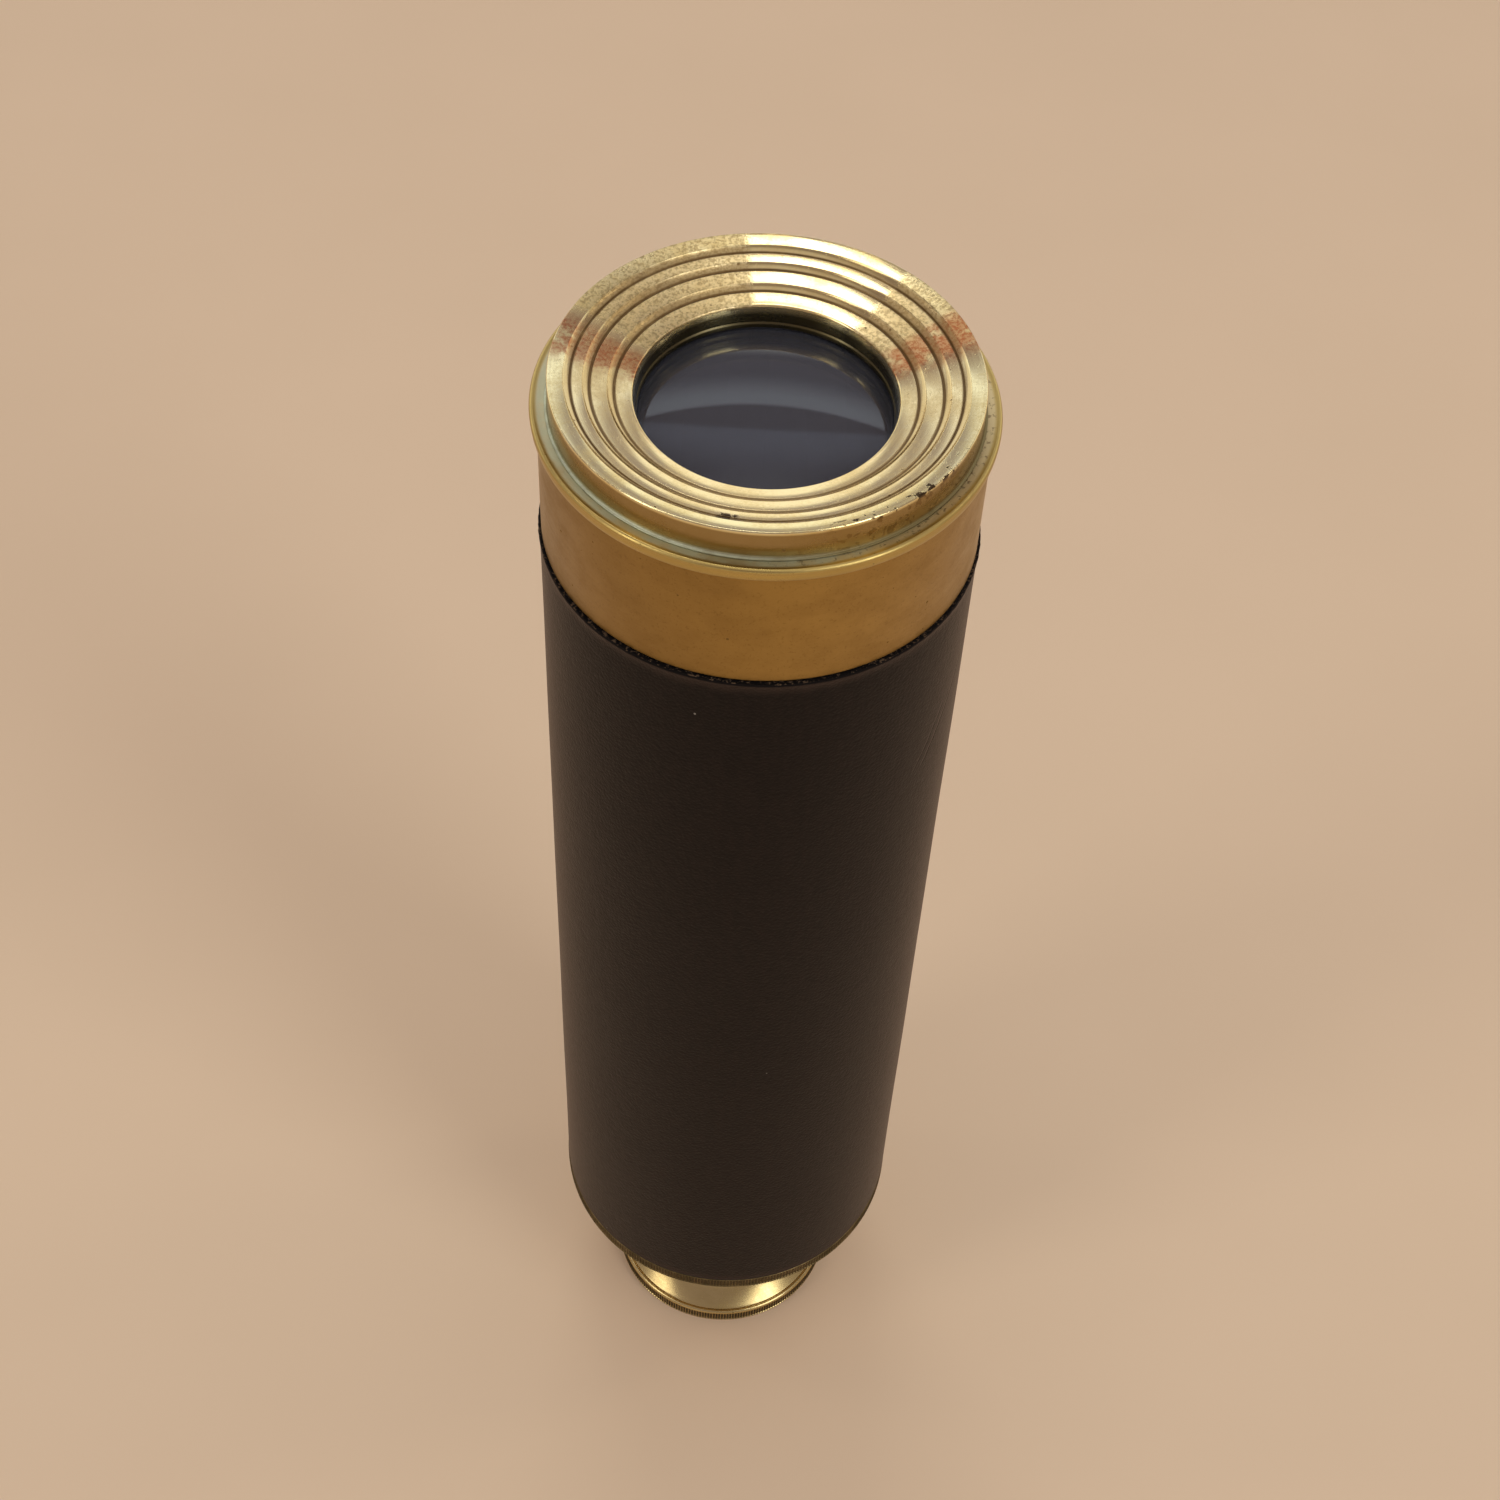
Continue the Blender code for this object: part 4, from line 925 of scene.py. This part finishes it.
cup_outline = [
    (BOWL_MOUTH + 0.3, 0.0),
    (CUP_RADIUS - 0.35, 0.0),
    (CUP_RADIUS - 0.02, 0.20),
    (CUP_RADIUS - 0.02, 0.28),
    (CUP_RADIUS - MILLING_DEPTH, 0.38),
    (CUP_RADIUS - MILLING_DEPTH, 1.72),
    (CUP_RADIUS - 0.10, 1.80),
    *swelled((CUP_RADIUS - 0.12, 1.88), (CUP_RADIUS - 0.50, 2.24), -0.08, 5),
    (CUP_RADIUS - 0.55, 2.06),
    (CUP_RADIUS - 0.68, 2.04),
    *swelled((CUP_RADIUS - 0.72, 2.30), (CUP_NECK_RADIUS, CUP_NECK_BOTTOM), 1.0, 28),
    (CUP_NECK_RADIUS, CUP_SHOULDER),
    (CUP_SPIGOT_RADIUS, CUP_SHOULDER),
    (CUP_SPIGOT_RADIUS, cup_high.z / MM),
    (EYE_LENS_BORE, cup_high.z / MM),
    (EYE_LENS_BORE, EYE_SEAT),
    (SIGHT_HOLE, EYE_SEAT),
    *cove((BOWL_MOUTH, 0.3), (SIGHT_HOLE, BOWL_DEPTH), steps=24)[::-1],
]
cup = turned(
    "eye_cup_turned",
    cup_outline,
    brass("cup_brass", (0.60, 0.47, 0.22), (0.48, 0.36, 0.15), 0.13, 0.12),
)
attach(cup, "draw")
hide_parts("eye_cup")

cup_ribs = ribs_round("eye_cup_milling", CUP_RIBS, CUP_RADIUS, 0.32, 1.78, MILLED_BRASS)
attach(cup_ribs, "draw")


# --- Eye lens and its ring --------------------------------------------------------------------
# A small plano-convex lens with its flat face to the eye, held in the cup's spigot by a blackened,
# slotted ring.

eye_low, eye_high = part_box("eye_lens")
EYE_LENS_RADIUS = eye_high.x / MM
EYE_LENS_CURVE = 52.0
eye_glass = turned(
    "eye_lens_ground",
    lens_outline(EYE_LENS_CURVE, EYE_LENS_RADIUS, eye_high.z / MM, eye_low.z / MM),
    glass("eye_glass", (0.93, 0.94, 0.95), 0.0),
    closed=False,
)
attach(eye_glass, "draw")
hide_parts("eye_lens")
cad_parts["eye_lens_ring"].data.materials[0] = BLACKENED


# --- Mirrors ---------------------------------------------------------------------------------
# Three strips of thin glass, silvered on the inner face and painted grey behind, set edge to edge
# as a long triangular tunnel.


TUNNEL_CORNER = 13.2


def silvered(name):
    """Bright silver on the face towards the axis, and grey paint on what lies farther out."""
    finish = Finish(name)
    spoiled = finish.noise(finish.place, 0.5, 4.0).rise(0.68, 0.76)
    paint = finish.radius.rise(TUNNEL_CORNER, TUNNEL_CORNER + 0.3)
    colour = (spoiled * 0.3).blend((0.88, 0.90, 0.90), (0.55, 0.55, 0.52))
    colour = paint.blend(colour, (0.16, 0.17, 0.18))
    rough = paint * 0.5 + spoiled * 0.15 + 0.02
    return finish.wire(Base_Color=colour, Roughness=rough, Metallic=1.0 - paint)


MIRROR = silvered("silvered_glass")
for number in (1, 2, 3):
    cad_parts[f"mirror_{number}"].data.materials[0] = MIRROR


# --- Cork packing ----------------------------------------------------------------------------
# A strip of cork behind each mirror, cut round to the tube. It keeps the mirrors from rattling.

for number in (1, 2, 3):
    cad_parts[f"cork_packing_{number}"].data.materials[0] = CORK


# --- Binding tape ----------------------------------------------------------------------------
# Two bands of black cloth tape that bind the mirrors together before they are packed.


THREADS_UP, THREADS_ROUND = 14.0, 170.0


def cloth_tape(name):
    """Black woven tape: threads round and across, under a little gum."""
    finish = Finish(name)
    angle = finish.y.maths("ARCTAN2", finish.x)
    round_threads = (finish.z * THREADS_UP).maths("SINE")
    cross_threads = (angle * THREADS_ROUND).maths("SINE")
    weave = round_threads * cross_threads * 0.5 + 0.5
    colour = weave.blend((0.018, 0.018, 0.019), (0.055, 0.054, 0.052))
    normal = finish.bump(weave, 0.05)
    return finish.wire(Base_Color=colour, Roughness=weave * 0.1 + 0.75, Normal=normal)


TAPE = cloth_tape("woven_tape")
for end in ("rear", "front"):
    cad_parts[f"{end}_binding_tape"].data.materials[0] = TAPE


# --- Mirror seats and their ring ---------------------------------------------------------------
# Blackened plates with a round window towards the eye and a triangular one towards the lens, and
# the slotted ring that screws them up against the mirrors.

for node in ("rear_mirror_seat", "front_mirror_seat", "mirror_retaining_ring"):
    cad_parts[node].data.materials[0] = BLACKENED


# --- Floor, light and camera -------------------------------------------------------------------
# A plain pale floor and a room with a bright window and horizon on its north side. A soft light
# hangs overhead and behind, a tall one stands at each side, and two small ones are at the back.


def matt_floor():
    """Warm matt card, very slightly uneven in tone."""
    finish = Finish("floor")
    tone = finish.noise(finish.place, 0.02, 2.0)
    colour = tone.blend((0.73, 0.56, 0.385), (0.77, 0.59, 0.41))
    return finish.wire(Base_Color=colour, Roughness=0.8, Specular_IOR_Level=0.2)


FLOOR_REACH = 3.0
floor_mesh = bpy.data.meshes.new("floor")
floor_mesh.from_pydata(
    [(x * FLOOR_REACH, y * FLOOR_REACH, 0) for x, y in ((-1, -1), (1, -1), (1, 1), (-1, 1))],
    [],
    [(0, 1, 2, 3)],
)
floor_mesh.materials.append(matt_floor())
floor = bpy.data.objects.new("floor", floor_mesh)
bpy.context.scene.collection.objects.link(floor)

world = bpy.data.worlds.new("room")
world.use_nodes = True
background = world.node_tree.nodes["Background"]
directions = world.node_tree.nodes.new("ShaderNodeTexCoord").outputs["Generated"]
outward = Wire(world.node_tree, directions)
north, height = (
    outward.node("ShaderNodeSeparateXYZ", {}, {0: outward}, out=axis) for axis in (1, 2)
)
room = height.rise(0.84, 0.98).blend((0.34, 0.28, 0.28), (0.84, 0.80, 0.78))
room = height.rise(0.22, 0.05).blend(room, (0.80, 0.74, 0.68))
slope = height / north
pane = slope.rise(0.62, 0.88).blend((0.36, 0.32, 0.35), (1.25, 1.31, 1.40))
window = slope.rise(0.945, 0.905) * north.rise(0.05, 0.15)
room = window.blend(room, pane)
horizon = height.rise(0.45, 0.39) * north.rise(0.10, 0.60)
room = horizon.blend(room, (1.22, 1.20, 1.14))
world.node_tree.links.new(room.socket, background.inputs["Color"])
background.inputs["Strength"].default_value = 1.0
bpy.context.scene.world = world


def softbox(name, place, size, watts, colour):
    """A rectangular light that faces the middle of the barrel. It isn't seen through glass."""
    data = bpy.data.lights.new(name, "AREA")
    data.shape = "RECTANGLE"
    data.size, data.size_y = size
    data.energy = watts
    data.color = colour
    lamp = bpy.data.objects.new(name, data)
    lamp.location = place
    aim = Vector((0, 0, 0.1)) - lamp.location
    lamp.rotation_euler = aim.to_track_quat("-Z", "Y").to_euler()
    lamp.visible_transmission = False
    bpy.context.scene.collection.objects.link(lamp)
    return lamp


overhead = softbox("overhead_light", (-0.13, 0.58, 1.36), (0.36, 0.30), 1.6, (1.0, 0.98, 0.93))
# The overhead light leaves the objective out, or its outline would show as a square on the glass
unlit = bpy.data.collections.new("not_lit_from_overhead")
unlit.objects.link(objective)
unlit.collection_objects[0].light_linking.link_state = "EXCLUDE"
overhead.light_linking.receiver_collection = unlit
softbox("right_light", (0.73, -0.64, 0.85), (0.42, 0.90), 4.1, (0.97, 0.99, 1.0))
softbox("left_light", (-0.85, -0.52, 0.82), (0.30, 0.85), 2.2, (1.0, 0.96, 0.90))
softbox("east_light", (0.97, 0.31, 0.97), (0.20, 0.20), 0.6, (1.0, 0.90, 0.72))
softbox("west_light", (-0.93, 0.16, 1.06), (0.18, 0.18), 0.4, (1.0, 0.95, 0.85))

CAMERA_PLACE = (0.000296, -0.170387, 0.32307)
FOCAL_LENGTH, SENSOR_WIDTH = 57.22, 36.0
ELEVATION, ROLL = math.radians(50.883), math.radians(3.179)
back = Vector((0, -math.cos(ELEVATION), math.sin(ELEVATION)))
up = Vector((0, math.sin(ELEVATION), math.cos(ELEVATION)))
level = Vector((1, 0, 0))
right = math.cos(ROLL) * level + math.sin(ROLL) * up
raised = math.cos(ROLL) * up - math.sin(ROLL) * level
lens = bpy.data.cameras.new("camera")
lens.lens = FOCAL_LENGTH
lens.sensor_width = SENSOR_WIDTH
lens.clip_start = 0.01
camera = bpy.data.objects.new("camera", lens)
turned_to = Matrix((right, raised, back)).transposed().to_4x4()
camera.matrix_world = Matrix.Translation(CAMERA_PLACE) @ turned_to
bpy.context.scene.collection.objects.link(camera)
bpy.context.scene.camera = camera
bpy.context.scene.view_settings.view_transform = "Standard"
